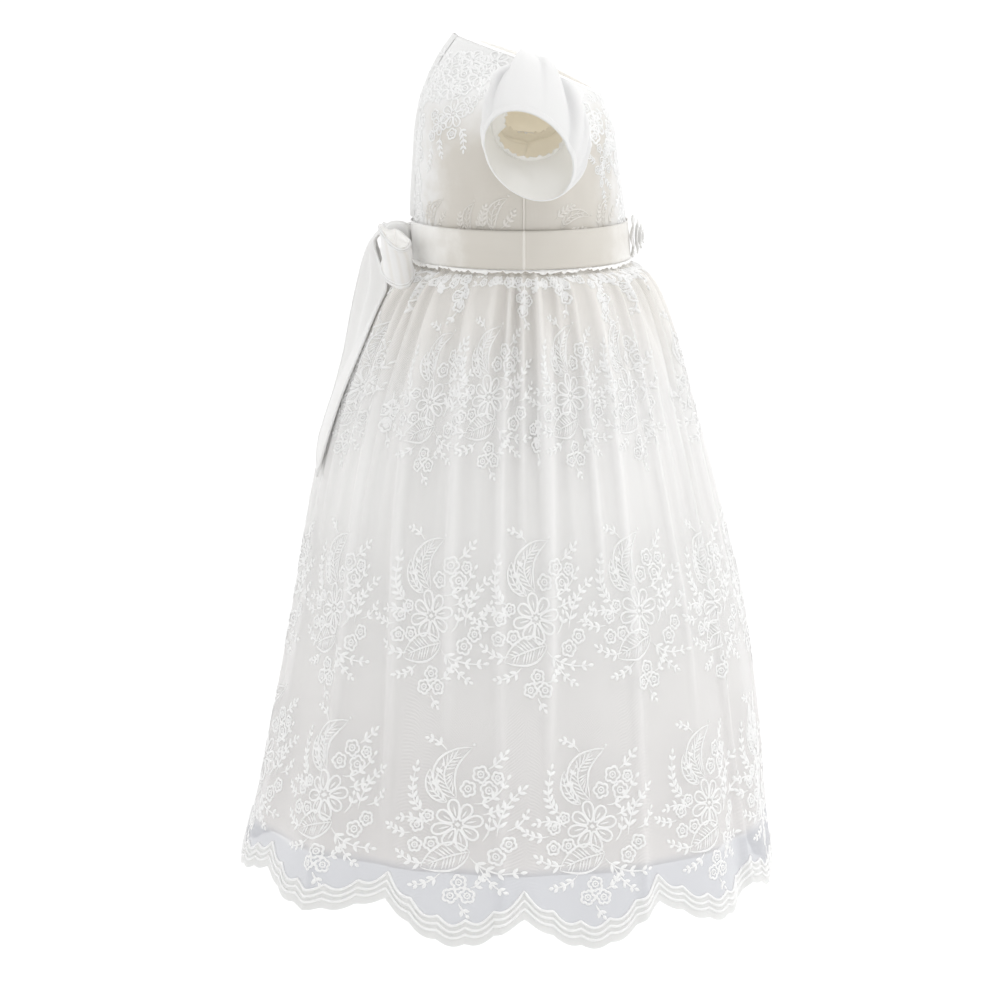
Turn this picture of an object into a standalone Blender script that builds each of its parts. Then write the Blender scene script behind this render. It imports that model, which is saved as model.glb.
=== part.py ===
"""Christening gown, filled out as it is worn.

Metres, +Z up, front towards -Y, the wearer's right towards -X.
The origin is where the wearer holds the gown up: between the shoulders, level with the back neck.
Sizes in the tables are in millimetres.
"""
import math
from collections import namedtuple

import bmesh
import bpy
from mathutils import Vector

MM = 0.001

# Cloth walls and the gap kept between pieces
LACE_WALL = 1.2 * MM
LINING_WALL = 1.2 * MM
BODICE_WALL = 1.5 * MM
SLEEVE_WALL = 1.2 * MM
RIBBON_WALL = 1.2 * MM
SEAM_GAP = 0.3 * MM

# Heights of the main seams and edges
WAIST_Z = -166.3 * MM
UNDERARM_Z = -87.5 * MM
BELT_TOP_Z = -137.5 * MM
BELT_BOTTOM_Z = -165.9 * MM

# Bodice, outer face, from the waist up to the underarm
BodiceLevel = namedtuple("BodiceLevel", "z side front back power")
BODICE_LEVELS = [
    BodiceLevel(-166.3, 95.0, 79.0, 82.0, 1.95),
    BodiceLevel(-151.0, 95.5, 78.0, 82.2, 2.00),
    BodiceLevel(-131.0, 96.2, 75.8, 82.5, 2.05),
    BodiceLevel(-110.0, 97.2, 73.0, 81.8, 2.15),
    BodiceLevel(-87.5, 98.0, 69.7, 80.2, 2.25),
]
BODICE_COLUMNS = 12
BODICE_LOW_ROWS = 5
BODICE_HIGH_ROWS = 6
RELAX_PASSES = 3

# Armhole: an ellipse seen from the side, whose edge lies on the bodice
ARMHOLE_Y = -5.0 * MM
ARMHOLE_Z = -54.5 * MM
ARMHOLE_HALF_WIDTH = 29.5 * MM
ARMHOLE_HALF_HEIGHT = 33.0 * MM
ARMHOLE_EGG = 0.12  # how much narrower it is towards the shoulder
ARMHOLE_X = 98.0 * MM  # at the underarm
ARMHOLE_TOP_INSET = 6.0 * MM
ARMHOLE_FRONT_INSET = 9.0 * MM
ARMHOLE_BACK_INSET = 2.0 * MM

# Neckline: half an ellipse from above, tilted down to the front
NECK_HALF_WIDTH = 52.0 * MM
NECK_POINT_Y = -3.0 * MM
NECK_POINT_Z = -17.0 * MM
NECK_FRONT_Y = -57.3 * MM
NECK_FRONT_Z = -43.0 * MM
NECK_BACK_Y = 50.1 * MM
NECK_BACK_Z = 1.0 * MM
NECK_COLUMNS = 8  # columns of a half panel that end at the neckline, the others end at the shoulder
FRONT_CHEST = (-67.0 * MM, -66.0 * MM)  # control point (y, z) of the centre front line
BACK_CHEST = (79.5 * MM, -35.0 * MM)  # control point (y, z) of the centre back line

# Sleeve: from the armhole through a puff to a tilted round hem
SLEEVE_SEGMENTS = 36
SLEEVE_RINGS = (0.0, 0.10, 0.26, 0.48, 0.74, 1.0)
SLEEVE_START = 8.0 * MM  # how far the sleeve runs straight out of the armhole
SLEEVE_HEAD_RISE = 9.0 * MM  # how far its gathered head rises over the shoulder
SLEEVE_FRONT_LEAN = 0.35
SLEEVE_GATHERS = 9
SLEEVE_GATHER_DEPTH = 1.3 * MM
UNDERARM_GATHER = 0.4  # share of the gathers' depth that is left under the arm
PUFF_TOP_LEAN = 9.0 * MM
PUFF_FORWARD = 9.0 * MM  # how far the puff's lower half swings forward
PUFF_EGG = 0.2  # how much narrower it is towards the shoulder
# Millimetres and degrees, with x away from the body. tilt turns the hem's top edge outwards, and
# roll lifts its back edge. The left sleeve hangs lower.
SleeveHem = namedtuple("SleeveHem", "x y z half_up half_back tilt roll")
SleevePuff = namedtuple("SleevePuff", "x y z half_depth half_height")
SleeveShape = namedtuple("SleeveShape", "node side hem puff")
SLEEVES = [
    SleeveShape("sleeve_right", -1,
                SleeveHem(130.0, -3.0, -81.0, 32.5, 32.5, 21.7, 17.3),
                SleevePuff(120.0, -13.0, -46.0, 50.0, 62.0)),
    SleeveShape("sleeve_left", 1,
                SleeveHem(122.0, -4.0, -101.0, 21.0, 33.0, 50.0, 6.0),
                SleevePuff(124.0, -10.0, -57.0, 45.0, 49.0)),
]

# Skirt, outer face of the tulle, with the depth of the gathers
SkirtLevel = namedtuple("SkirtLevel", "z side front back gather")
SKIRT_LEVELS = [
    SkirtLevel(-166.9, 94.0, 79.0, 82.0, 1.2),
    SkirtLevel(-169.5, 94.0, 79.0, 82.0, 1.2),
    SkirtLevel(-176.0, 104.0, 91.5, 92.0, 2.2),
    SkirtLevel(-190.0, 112.5, 101.0, 103.0, 2.8),
    SkirtLevel(-222.0, 126.0, 113.0, 119.0, 2.4),
    SkirtLevel(-272.0, 144.0, 127.0, 140.5, 1.4),
    SkirtLevel(-340.0, 162.0, 145.0, 160.0, 0.5),
    SkirtLevel(-430.0, 181.0, 167.0, 176.0, 0.0),
    SkirtLevel(-530.0, 198.0, 182.0, 196.0, 0.0),
    SkirtLevel(-642.0, 216.0, 197.0, 225.0, 0.0),
]
LACE_ROWS_Z = (-166.9, -169.5, -176.0, -190.0, -222.0, -272.0, -340.0, -430.0, -530.0)
GATHERS = 48
COLUMNS_PER_GATHER = 4
GATHER_UNEVEN = 0.28  # how much the gathers differ in depth
GATHER_RHYTHM = 2.3

# Hem of the tulle: joints of the scallops, and how far the scallop after each joint hangs below it
HemJoint = namedtuple("HemJoint", "angle z swell")
HEM_JOINTS = [
    HemJoint(0, -617.0, 26.0),
    HemJoint(31, -613.0, 19.0),
    HemJoint(64, -622.0, 10.0),
    HemJoint(91, -628.0, 15.0),
    HemJoint(120, -621.0, 22.0),
    HemJoint(150, -614.0, 21.0),
    HemJoint(180, -617.0, 22.0),
    HemJoint(208, -612.0, 24.0),
    HemJoint(239, -617.0, 15.0),
    HemJoint(267, -609.0, 10.0),
    HemJoint(295, -612.0, 17.0),
    HemJoint(332, -610.0, 26.0),
    HemJoint(360, -617.0, 26.0),
]
LOBE_DEPTH = 4.0
LOBES = 5

# Long soft folds of the skirt: troughs that deepen from start_z to the hem
SkirtFold = namedtuple("SkirtFold", "angle half_width depth start_z")
SKIRT_FOLDS = [
    SkirtFold(10, 7.0, 5.0, -200),
    SkirtFold(34, 8.0, 4.0, -260),
    SkirtFold(61, 7.0, 9.0, -190),
    SkirtFold(82, 9.0, 5.0, -300),
    SkirtFold(105, 8.0, 7.0, -210),
    SkirtFold(128, 7.0, 5.0, -240),
    SkirtFold(150, 9.0, 7.0, -200),
    SkirtFold(172, 7.0, 4.5, -280),
    SkirtFold(197, 8.0, 6.0, -210),
    SkirtFold(221, 8.0, 5.0, -250),
    SkirtFold(245, 7.0, 7.0, -200),
    SkirtFold(270, 10.0, 4.0, -320),
    SkirtFold(296, 8.0, 6.5, -220),
    SkirtFold(326, 8.0, 7.0, -190),
    SkirtFold(346, 6.5, 4.5, -230),
]

FOLD_FULL_Z = -642.0  # height at which the folds reach their depth

# Skirt lining, inside the tulle
LiningLevel = namedtuple("LiningLevel", "z inset")
LINING_LEVELS = [
    LiningLevel(-166.9, 3.2),
    LiningLevel(-169.5, 4.0),
    LiningLevel(-176.0, 8.5),
    LiningLevel(-190.0, 8.0),
    LiningLevel(-593.0, 7.0),
]
LINING_ROWS_Z = (-166.9, -169.5, -176.0, -190.0, -226.0, -290.0, -380.0, -485.0, -593.0)
LINING_COLUMNS = 36

# Back closure strip: the columns of the back panels beside the opening
PLACKET_BOTTOM_Z = BELT_TOP_Z + SEAM_GAP

# Bow of the belt at the back: knot, two loops of ribbon and two tails
KNOT_SIZE = (24.0 * MM, 21.0 * MM, 26.0 * MM)
KNOT_BEVEL = 6.0 * MM
KNOT_CENTRE = (0.0, 94.7 * MM, -152.0 * MM)
LOOP_LENGTH = 56.0 * MM
LOOP_HALF_THICKNESS = 10.0 * MM
LOOP_ROOT_THICKNESS = 0.34  # share of the thickness left beside the knot
LOOP_SWELL = 1.4  # how soon the loop reaches its full thickness
LOOP_FLARE = 1.2  # and its full width
LOOP_ROOT_X = 14.2 * MM  # inner face of the band beside the knot
LOOP_Y = 95.8 * MM
LOOP_Z = -152.0 * MM
LOOP_ROOT_HALF_WIDTH = 8.5 * MM
LOOP_END_HALF_WIDTH = 19.0 * MM
LOOP_ROLL = 2.0 * MM
LOOP_SWEEP = 4.0 * MM  # how far the outer end turns back towards the body
LOOP_SEGMENTS = 24
LOOP_ROWS = 4
LOOP_DROOPS = {"right": 12.0 * MM, "left": 15.0 * MM}
TailLevel = namedtuple("TailLevel", "z y centre half_width curl")
TAIL_LEVELS = [
    TailLevel(-144.0, 105.6, 8.0, 6.5, 0.0),
    TailLevel(-152.0, 112.5, 9.5, 8.5, 1.0),
    TailLevel(-166.0, 118.5, 12.5, 11.5, 12.0),
    TailLevel(-184.0, 123.5, 16.0, 14.5, 23.0),
    TailLevel(-210.0, 129.5, 20.5, 17.5, 20.5),
    TailLevel(-240.0, 135.0, 24.5, 19.5, 18.0),
    TailLevel(-265.0, 140.8, 26.0, 20.0, 16.0),
    TailLevel(-290.0, 146.8, 26.5, 20.2, 13.0),
    TailLevel(-314.0, 151.0, 27.0, 20.4, 10.0),
]
TAIL_COLUMNS = 6
TAIL_SLANT = 12.0 * MM
TAIL_TROUGH = 3.5 * MM
TAIL_CURL_POWER = 1.4  # the outer edge of a tail curls in towards the skirt
TAIL_LIFT = 3.4 * MM  # how far a tail's inner face stays off the skirt, over the gathers

# Rosette on the front of the belt
ROSETTE_RADIUS = 15.5 * MM
ROSETTE_PETALS = 5
ROSETTE_SEGMENTS = 30
ROSETTE_Z = -150.5 * MM
RosetteRing = namedtuple("RosetteRing", "radius height petal turn")
ROSETTE_RINGS = [
    RosetteRing(0.80, 0.0, 0.05, 0.0),
    RosetteRing(1.00, 3.0, 0.12, 0.0),
    RosetteRing(0.86, 6.6, 0.16, 0.0),
    RosetteRing(0.60, 5.4, 0.04, 0.5),
    RosetteRing(0.52, 9.0, 0.14, 0.5),
    RosetteRing(0.28, 7.6, 0.02, 0.5),
    RosetteRing(0.20, 10.6, 0.0, 0.0),
]

COLLECTION_NAME = "christening_gown"


def clear_scene():
    for old in list(bpy.data.objects):
        bpy.data.objects.remove(old, do_unlink=True)


def make_collection():
    collection = bpy.data.collections.new(COLLECTION_NAME)
    bpy.context.scene.collection.children.link(collection)
    return collection


def cloth_material(name, color, roughness):
    material = bpy.data.materials.new(name)
    material.use_nodes = True
    shader = material.node_tree.nodes["Principled BSDF"]
    shader.inputs["Base Color"].default_value = (*color, 1.0)
    shader.inputs["Roughness"].default_value = roughness
    shader.inputs["Metallic"].default_value = 0.0
    material.diffuse_color = (*color, 1.0)
    return material


def read_levels(levels, z_mm):
    """Values of a table at a height, on a curve through its rows, as a row of that table."""
    ordered = sorted(levels, key=lambda level: level.z)
    z_mm = min(max(z_mm, ordered[0].z), ordered[-1].z)
    index = max(i for i, level in enumerate(ordered[:-1]) if level.z <= z_mm)
    low = ordered[index]
    high = ordered[index + 1]
    before = ordered[max(index - 1, 0)]
    after = ordered[min(index + 2, len(ordered) - 1)]
    span = high.z - low.z
    share = (z_mm - low.z) / span
    values = [z_mm]
    for a, b, c, d in zip(before[1:], low[1:], high[1:], after[1:]):
        slope_low = (c - a) / (high.z - before.z) * span
        slope_high = (d - b) / (after.z - low.z) * span
        values.append(hermite(b, c, slope_low, slope_high, share))
    return type(low)(*values)


def hermite(start, end, slope_start, slope_end, share):
    square = share * share
    cube = square * share
    return (start * (2 * cube - 3 * square + 1) + end * (3 * square - 2 * cube)
            + slope_start * (cube - 2 * square + share) + slope_end * (cube - square))


def ease(share):
    share = min(max(share, 0.0), 1.0)
    return share * share * (3.0 - 2.0 * share)


def mix(start, end, share):
    return tuple(a + (b - a) * share for a, b in zip(start, end))


def quadratic(start, control, end, share):
    return mix(mix(start, control, share), mix(control, end, share), share)


def cubic(start, first, second, end, share):
    return mix(quadratic(start, first, second, share), quadratic(first, second, end, share), share)


def add_sheet(name, rows, wall, material, collection, closed=False, flip=False, mirror=False):
    """Cloth through rows of points, thickened by wall on the side its faces look to."""
    width = len(rows[0])
    points = [point for row in rows for point in row]
    faces = []
    columns = width if closed else width - 1
    for row in range(len(rows) - 1):
        for column in range(columns):
            beside = (column + 1) % width
            face = (row * width + column, row * width + beside,
                    (row + 1) * width + beside, (row + 1) * width + column)
            faces.append(face[::-1] if flip else face)
    mesh = bpy.data.meshes.new(name)
    mesh.from_pydata(points, [], faces)
    mesh.materials.append(material)
    sheet = bpy.data.objects.new(name, mesh)
    collection.objects.link(sheet)
    if mirror:
        halves = sheet.modifiers.new("both halves", "MIRROR")
        halves.use_axis = (True, False, False)
        halves.merge_threshold = 0.0001
    thicken = sheet.modifiers.new("cloth wall", "SOLIDIFY")
    thicken.thickness = wall
    thicken.offset = 1.0
    thicken.use_even_offset = True
    mesh.shade_smooth()
    return sheet


def relax_rows(rows, passes):
    """Even out the inside of a grid of points, with its edges held."""
    for _ in range(passes):
        calm = [list(row) for row in rows]
        for r in range(1, len(rows) - 1):
            for c in range(1, len(rows[0]) - 1):
                around = (rows[r - 1][c], rows[r + 1][c], rows[r][c - 1], rows[r][c + 1])
                middle = tuple(sum(point[axis] for point in around) / 4 for axis in range(3))
                calm[r][c] = mix(rows[r][c], middle, 0.5)
        rows = calm
    return rows


def bodice_section(angle, z, front, outwards=0.0):
    """Point on the bodice's outer face: angle from the centre line towards the wearer's right."""
    level = read_levels(BODICE_LEVELS, z / MM)
    side = level.side * MM + outwards
    depth = (level.front if front else level.back) * MM + outwards
    power = 2.0 / level.power
    x = side * math.sin(angle) ** power
    y = depth * max(math.cos(angle), 0.0) ** power
    return (-x, -y if front else y, z)


def armhole_point(beta, shrink=0.0):
    """Edge of the right armhole: beta 0 at the back, 90 degrees at the shoulder, 180 at the front."""
    across = math.cos(beta)
    up = math.sin(beta)
    side_inset = ARMHOLE_BACK_INSET if across > 0 else ARMHOLE_FRONT_INSET
    inset = side_inset * across * across + ARMHOLE_TOP_INSET * (1.0 + up) / 2.0
    return (-(ARMHOLE_X - inset),
            ARMHOLE_Y + (ARMHOLE_HALF_WIDTH * (1.0 - ARMHOLE_EGG * up) - shrink) * across,
            ARMHOLE_Z + (ARMHOLE_HALF_HEIGHT - shrink) * up)


def top_edge_point(column, front):
    """Neckline from the centre out to the neck point, then the shoulder out to the armhole."""
    neck_point = (-NECK_HALF_WIDTH, NECK_POINT_Y, NECK_POINT_Z)
    if column > NECK_COLUMNS:
        along = (column - NECK_COLUMNS) / (BODICE_COLUMNS - NECK_COLUMNS)
        return mix(neck_point, armhole_point(math.pi / 2), along)
    turn = math.pi / 2 * column / NECK_COLUMNS
    end_y = NECK_FRONT_Y if front else NECK_BACK_Y
    end_z = NECK_FRONT_Z if front else NECK_BACK_Z
    return (neck_point[0] * math.sin(turn),
            NECK_POINT_Y + (end_y - NECK_POINT_Y) * math.cos(turn),
            NECK_POINT_Z + (end_z - NECK_POINT_Z) * math.cos(turn))


def even_out(row):
    """The same line through a row of points, with its points evenly spaced."""
    reach = [0.0]
    for before, after in zip(row, row[1:]):
        reach.append(reach[-1] + math.dist(before, after))
    spaced = [row[0]]
    for step in range(1, len(row) - 1):
        wanted = reach[-1] * step / (len(row) - 1)
        index = max(i for i in range(len(row) - 1) if reach[i] <= wanted)
        share = (wanted - reach[index]) / (reach[index + 1] - reach[index])
        spaced.append(mix(row[index], row[index + 1], share))
    return spaced + [row[-1]]


def bodice_half(front):
    """Rows of points of one half panel's inner face, waist first, centre column first."""
    columns = range(BODICE_COLUMNS + 1)
    shares = [column / BODICE_COLUMNS for column in columns]
    rows = []
    for row in range(BODICE_LOW_ROWS + 1):
        z = WAIST_Z + (UNDERARM_Z - WAIST_Z) * row / BODICE_LOW_ROWS
        rows.append([bodice_section(math.pi / 2 * share, z, front, -BODICE_WALL) for share in shares])
    bottom = rows.pop()
    bottom[-1] = pull_in(armhole_point(-math.pi / 2))
    top = [pull_in(top_edge_point(column, front)) for column in columns]
    chest = (0.0, *(FRONT_CHEST if front else BACK_CHEST))
    turn = -math.pi if front else math.pi
    patch = [bottom]
    for row in range(1, BODICE_HIGH_ROWS):
        rise = row / BODICE_HIGH_ROWS
        centre = quadratic(bottom[0], pull_in(chest), top[0], rise)
        edge = pull_in(armhole_point(-math.pi / 2 + turn * rise))
        line = []
        for share, low, high in zip(shares, bottom, top):
            upright = mix(low, high, rise)
            sideways = mix(centre, edge, share)
            corners = mix(mix(bottom[0], bottom[-1], share), mix(top[0], top[-1], share), rise)
            line.append(tuple(u + s - c for u, s, c in zip(upright, sideways, corners)))
        patch.append(even_out(line))
    patch.append(top)
    return relax_rows(rows + patch, RELAX_PASSES)


def pull_in(point):
    """Move a point of the bodice's outer face to its inner face, towards the middle of the chest."""
    x, y, z = point
    reach = math.hypot(x, y)
    share = (reach - BODICE_WALL) / reach
    return (x * share, y * share, z)


def part_seams(rows, front, centre_gap):
    """Hold a half panel's edges off the seams that it shares with its neighbours."""
    half = SEAM_GAP / 2
    toward = -half if front else half
    parted = []
    for row in rows:
        line = [list(point) for point in row]
        if centre_gap:
            line[0][0] = -half
        line[-1][1] += toward
        parted.append(line)
    for point in parted[-1]:
        if abs(point[0]) >= NECK_HALF_WIDTH - BODICE_WALL - half:
            point[1] += toward
    return [[tuple(point) for point in line] for line in parted]


def mirrored(rows):
    return [[(-x, y, z) for x, y, z in row] for row in rows]


def add_bodice(material, collection):
    front = part_seams(bodice_half(front=True), front=True, centre_gap=False)
    add_sheet("bodice_front", front, BODICE_WALL, material, collection, flip=True, mirror=True)
    back = part_seams(bodice_half(front=False), front=False, centre_gap=True)
    add_sheet("bodice_back_right", back, BODICE_WALL, material, collection)
    add_sheet("bodice_back_left", mirrored(back), BODICE_WALL, material, collection, flip=True)


def lifted(rows, distance):
    """Move a grid of points out along its own normals."""
    raised = []
    for r, row in enumerate(rows):
        above = rows[min(r + 1, len(rows) - 1)]
        below = rows[max(r - 1, 0)]
        line = []
        for c, point in enumerate(row):
            along = Vector(row[min(c + 1, len(row) - 1)]) - Vector(row[max(c - 1, 0)])
            upright = Vector(above[c]) - Vector(below[c])
            normal = along.cross(upright).normalized()
            line.append(tuple(Vector(point) + normal * distance))
        raised.append(line)
    return raised


def add_placket(material, collection):
    """Strip over the back opening, from the back panels' first two columns, moved out."""
    strip = []
    for centre, side in (row[:2] for row in bodice_half(front=False)):
        if centre[2] > PLACKET_BOTTOM_Z:
            strip.append([(-side[0], side[1], side[2]), centre, side])
    foot = bodice_section(math.pi / 2 / BODICE_COLUMNS, PLACKET_BOTTOM_Z, False, -BODICE_WALL)
    foot_centre = bodice_section(0.0, PLACKET_BOTTOM_Z, False, -BODICE_WALL)
    strip.insert(0, [(-foot[0], foot[1], foot[2]), foot_centre, foot])
    strip = lifted(strip, BODICE_WALL + SEAM_GAP)
    add_sheet("back_placket", strip, RIBBON_WALL, material, collection)


def sleeve_ring(shape, f):
    """Inner face of a sleeve at f, from 0 at the armhole to 1 at the hem."""
    hem = shape.hem
    tilt = math.radians(hem.tilt)
    roll = math.radians(hem.roll)
    ring = []
    for segment in range(SLEEVE_SEGMENTS):
        beta = 2 * math.pi * segment / SLEEVE_SEGMENTS
        across = math.cos(beta)
        up = math.sin(beta)
        x, y, z = armhole_point(beta, shrink=SLEEVE_WALL + SEAM_GAP)
        start = (-x, y, z)
        leave = (start[0] + SLEEVE_START,
                 start[1] - SLEEVE_START * SLEEVE_FRONT_LEAN * max(-across, 0.0),
                 start[2] + SLEEVE_HEAD_RISE * max(up, 0.0))
        control = puff_point(shape.puff, across, up)
        end = ((hem.x + hem.half_up * up * math.sin(tilt)) * MM,
               (hem.y + hem.half_back * across * math.cos(roll)) * MM,
               (hem.z + hem.half_up * up * math.cos(tilt) + hem.half_back * across * math.sin(roll)) * MM)
        x, y, z = cubic(start, leave, control, end, f)
        gather = SLEEVE_GATHER_DEPTH * math.sin(math.pi * f) * math.cos(SLEEVE_GATHERS * beta)
        gather *= UNDERARM_GATHER + (1.0 - UNDERARM_GATHER) * max(up, 0.0)
        ring.append((shape.side * x, y + gather * across, z + gather * up))
    return ring


def puff_point(puff, across, up):
    """What the sleeve swells towards, leaning forward and wider below."""
    half_depth = puff.half_depth * MM * (1.0 - PUFF_EGG * up)
    return (puff.x * MM + PUFF_TOP_LEAN * up,
            puff.y * MM + PUFF_FORWARD * up + half_depth * across,
            (puff.z + puff.half_height * up) * MM)


def add_sleeves(material, collection):
    for shape in SLEEVES:
        rings = [sleeve_ring(shape, f) for f in SLEEVE_RINGS]
        add_sheet(shape.node, rings, SLEEVE_WALL, material, collection, closed=True, flip=shape.side > 0)


def fold_depth(angle, z_mm):
    """How far the long folds draw the skirt in at an angle (degrees) and height."""
    total = 0.0
    for fold in SKIRT_FOLDS:
        away = (angle - fold.angle + 180.0) % 360.0 - 180.0
        grown = ease((fold.start_z - z_mm) / (fold.start_z - FOLD_FULL_Z))
        total += fold.depth * grown * math.exp(-(away / fold.half_width) ** 2)
    return total


def skirt_point(angle, z_mm, inset=0.0, gather=0.0):
    """Point of the skirt: angle in degrees from the right side seam (-X) round by the front (-Y)."""
    level = read_levels(SKIRT_LEVELS, z_mm)
    turn = math.radians(angle)
    drawn = fold_depth(angle, z_mm) + inset - gather * level.gather
    depth = level.front if math.sin(turn) >= 0 else level.back
    return (-(level.side - drawn) * math.cos(turn) * MM, -(depth - drawn) * math.sin(turn) * MM, z_mm * MM)


def hem_z(angle):
    """Height in millimetres of the tulle's scalloped edge at an angle in degrees."""
    index = max(i for i, joint in enumerate(HEM_JOINTS[:-1]) if joint.angle <= angle)
    start = HEM_JOINTS[index]
    end = HEM_JOINTS[index + 1]
    along = (angle - start.angle) / (end.angle - start.angle)
    joint = start.z + (end.z - start.z) * ease(along)
    lobe = LOBE_DEPTH * abs(math.sin(LOBES * math.pi * along))
    return joint - start.swell * math.sin(math.pi * along) - lobe


def panel_point(column, columns, front, z_mm, inset, gather=0.0):
    """Point of a skirt panel, whose end columns lie half a gap off the side seams."""
    angle = 180.0 * column / columns + (0.0 if front else 180.0)
    x, y, z = skirt_point(angle, z_mm, inset, gather)
    if column in (0, columns):
        y = -SEAM_GAP / 2 if front else SEAM_GAP / 2
    return (x, y, z)


def lace_rows(front):
    columns = GATHERS // 2 * COLUMNS_PER_GATHER
    rows = []
    for row in range(len(LACE_ROWS_Z) + 1):
        line = []
        for column in range(columns + 1):
            angle = 180.0 * column / columns + (0.0 if front else 180.0)
            number = column // COLUMNS_PER_GATHER + (0 if front else GATHERS // 2)
            strength = 1.0 + GATHER_UNEVEN * math.sin(GATHER_RHYTHM * number)
            wave = math.cos(2 * math.pi * column / COLUMNS_PER_GATHER) * strength
            height = LACE_ROWS_Z[row] if row < len(LACE_ROWS_Z) else hem_z(angle)
            line.append(panel_point(column, columns, front, height, LACE_WALL / MM, wave))
        rows.append(line)
    return rows


def lining_rows(front):
    rows = []
    for z_mm in LINING_ROWS_Z:
        inset = read_levels(LINING_LEVELS, z_mm).inset + LINING_WALL / MM
        rows.append([panel_point(column, LINING_COLUMNS, front, z_mm, inset)
                     for column in range(LINING_COLUMNS + 1)])
    return rows


def add_skirt(lace, lining, collection):
    for side, front in (("front", True), ("back", False)):
        add_sheet("skirt_lace_" + side, lace_rows(front), LACE_WALL, lace, collection, flip=True)
        add_sheet("skirt_lining_" + side, lining_rows(front), LINING_WALL, lining, collection, flip=True)


def add_belt(material, collection):
    """Front and back ribbons round the waist, from the bodice's points, moved out."""
    heights = (BELT_BOTTOM_Z, (BELT_BOTTOM_Z + BELT_TOP_Z) / 2, BELT_TOP_Z)
    turns = [math.pi / 2 * column / BODICE_COLUMNS for column in range(BODICE_COLUMNS + 1)]
    for side, front in (("front", True), ("back", False)):
        rows = []
        for z in heights:
            row = [bodice_section(turn, z, front, SEAM_GAP) for turn in turns]
            x, y, z = row[-1]
            row[-1] = (x, y + (-SEAM_GAP / 2 if front else SEAM_GAP / 2), z)
            rows.append(row)
        add_sheet("belt_" + side, rows, RIBBON_WALL, material, collection, flip=front, mirror=True)


def add_knot(material, collection):
    mesh = bpy.data.meshes.new("bow_knot")
    shape = bmesh.new()
    bmesh.ops.create_cube(shape, size=1.0)
    bmesh.ops.scale(shape, vec=KNOT_SIZE, verts=shape.verts)
    bmesh.ops.translate(shape, vec=KNOT_CENTRE, verts=shape.verts)
    shape.to_mesh(mesh)
    shape.free()
    mesh.materials.append(material)
    knot = bpy.data.objects.new("bow_knot", mesh)
    collection.objects.link(knot)
    edges = knot.modifiers.new("soft edges", "BEVEL")
    edges.width = KNOT_BEVEL
    edges.segments = 3
    mesh.shade_smooth()


def loop_rows(droop):
    """Inner face of the right loop: rows up its width, columns round the band."""
    rows = []
    for row in range(LOOP_ROWS + 1):
        up = 2 * row / LOOP_ROWS - 1
        line = []
        for segment in range(LOOP_SEGMENTS):
            phi = 2 * math.pi * segment / LOOP_SEGMENTS
            out = (1 - math.cos(phi)) / 2
            bulge = LOOP_ROOT_THICKNESS + (1 - LOOP_ROOT_THICKNESS) * ease(out * LOOP_SWELL)
            spread = (LOOP_END_HALF_WIDTH - LOOP_ROOT_HALF_WIDTH) * ease(out * LOOP_FLARE)
            x = LOOP_ROOT_X + LOOP_LENGTH * out
            y = LOOP_Y + LOOP_HALF_THICKNESS * math.sin(phi) * bulge + LOOP_ROLL * up * out
            y -= LOOP_SWEEP * out * out
            z = LOOP_Z - droop * out * out + (LOOP_ROOT_HALF_WIDTH + spread) * up
            line.append((-x, y, z))
        rows.append(line)
    return rows


def tail_rows():
    """Inner face of the right tail, from the knot down to its slanted end on the skirt."""
    rows = []
    last = TAIL_LEVELS[-1].z
    for level in TAIL_LEVELS:
        down = (level.z - TAIL_LEVELS[0].z) / (last - TAIL_LEVELS[0].z)
        line = []
        for column in range(TAIL_COLUMNS + 1):
            across = 2 * column / TAIL_COLUMNS - 1
            x = (level.centre + level.half_width * across) * MM
            z = level.z * MM - TAIL_SLANT * across * down * down
            trough = TAIL_TROUGH * math.sin(math.pi * down) * (1 - across * across)
            curl = level.curl * MM * ((1 + across) / 2) ** TAIL_CURL_POWER
            y = level.y * MM - trough - curl
            y = max(y, skirt_back_y(x, z) + TAIL_LIFT)
            line.append((-x, y, z))
        rows.append(line)
    return rows


def skirt_back_y(x, z):
    """How far back the skirt reaches at a distance from its centre line."""
    level = read_levels(SKIRT_LEVELS, z / MM)
    share = min(abs(x) / (level.side * MM), 1.0)
    return level.back * MM * math.sqrt(1 - share * share)


def add_bow(material, collection):
    add_knot(material, collection)
    loop = loop_rows(LOOP_DROOPS["right"])
    add_sheet("bow_loop_right", loop, RIBBON_WALL, material, collection, closed=True)
    loop = mirrored(loop_rows(LOOP_DROOPS["left"]))
    add_sheet("bow_loop_left", loop, RIBBON_WALL, material, collection, closed=True, flip=True)
    tail = tail_rows()
    add_sheet("bow_tail_right", tail, RIBBON_WALL, material, collection, flip=True)
    add_sheet("bow_tail_left", mirrored(tail), RIBBON_WALL, material, collection)


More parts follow.
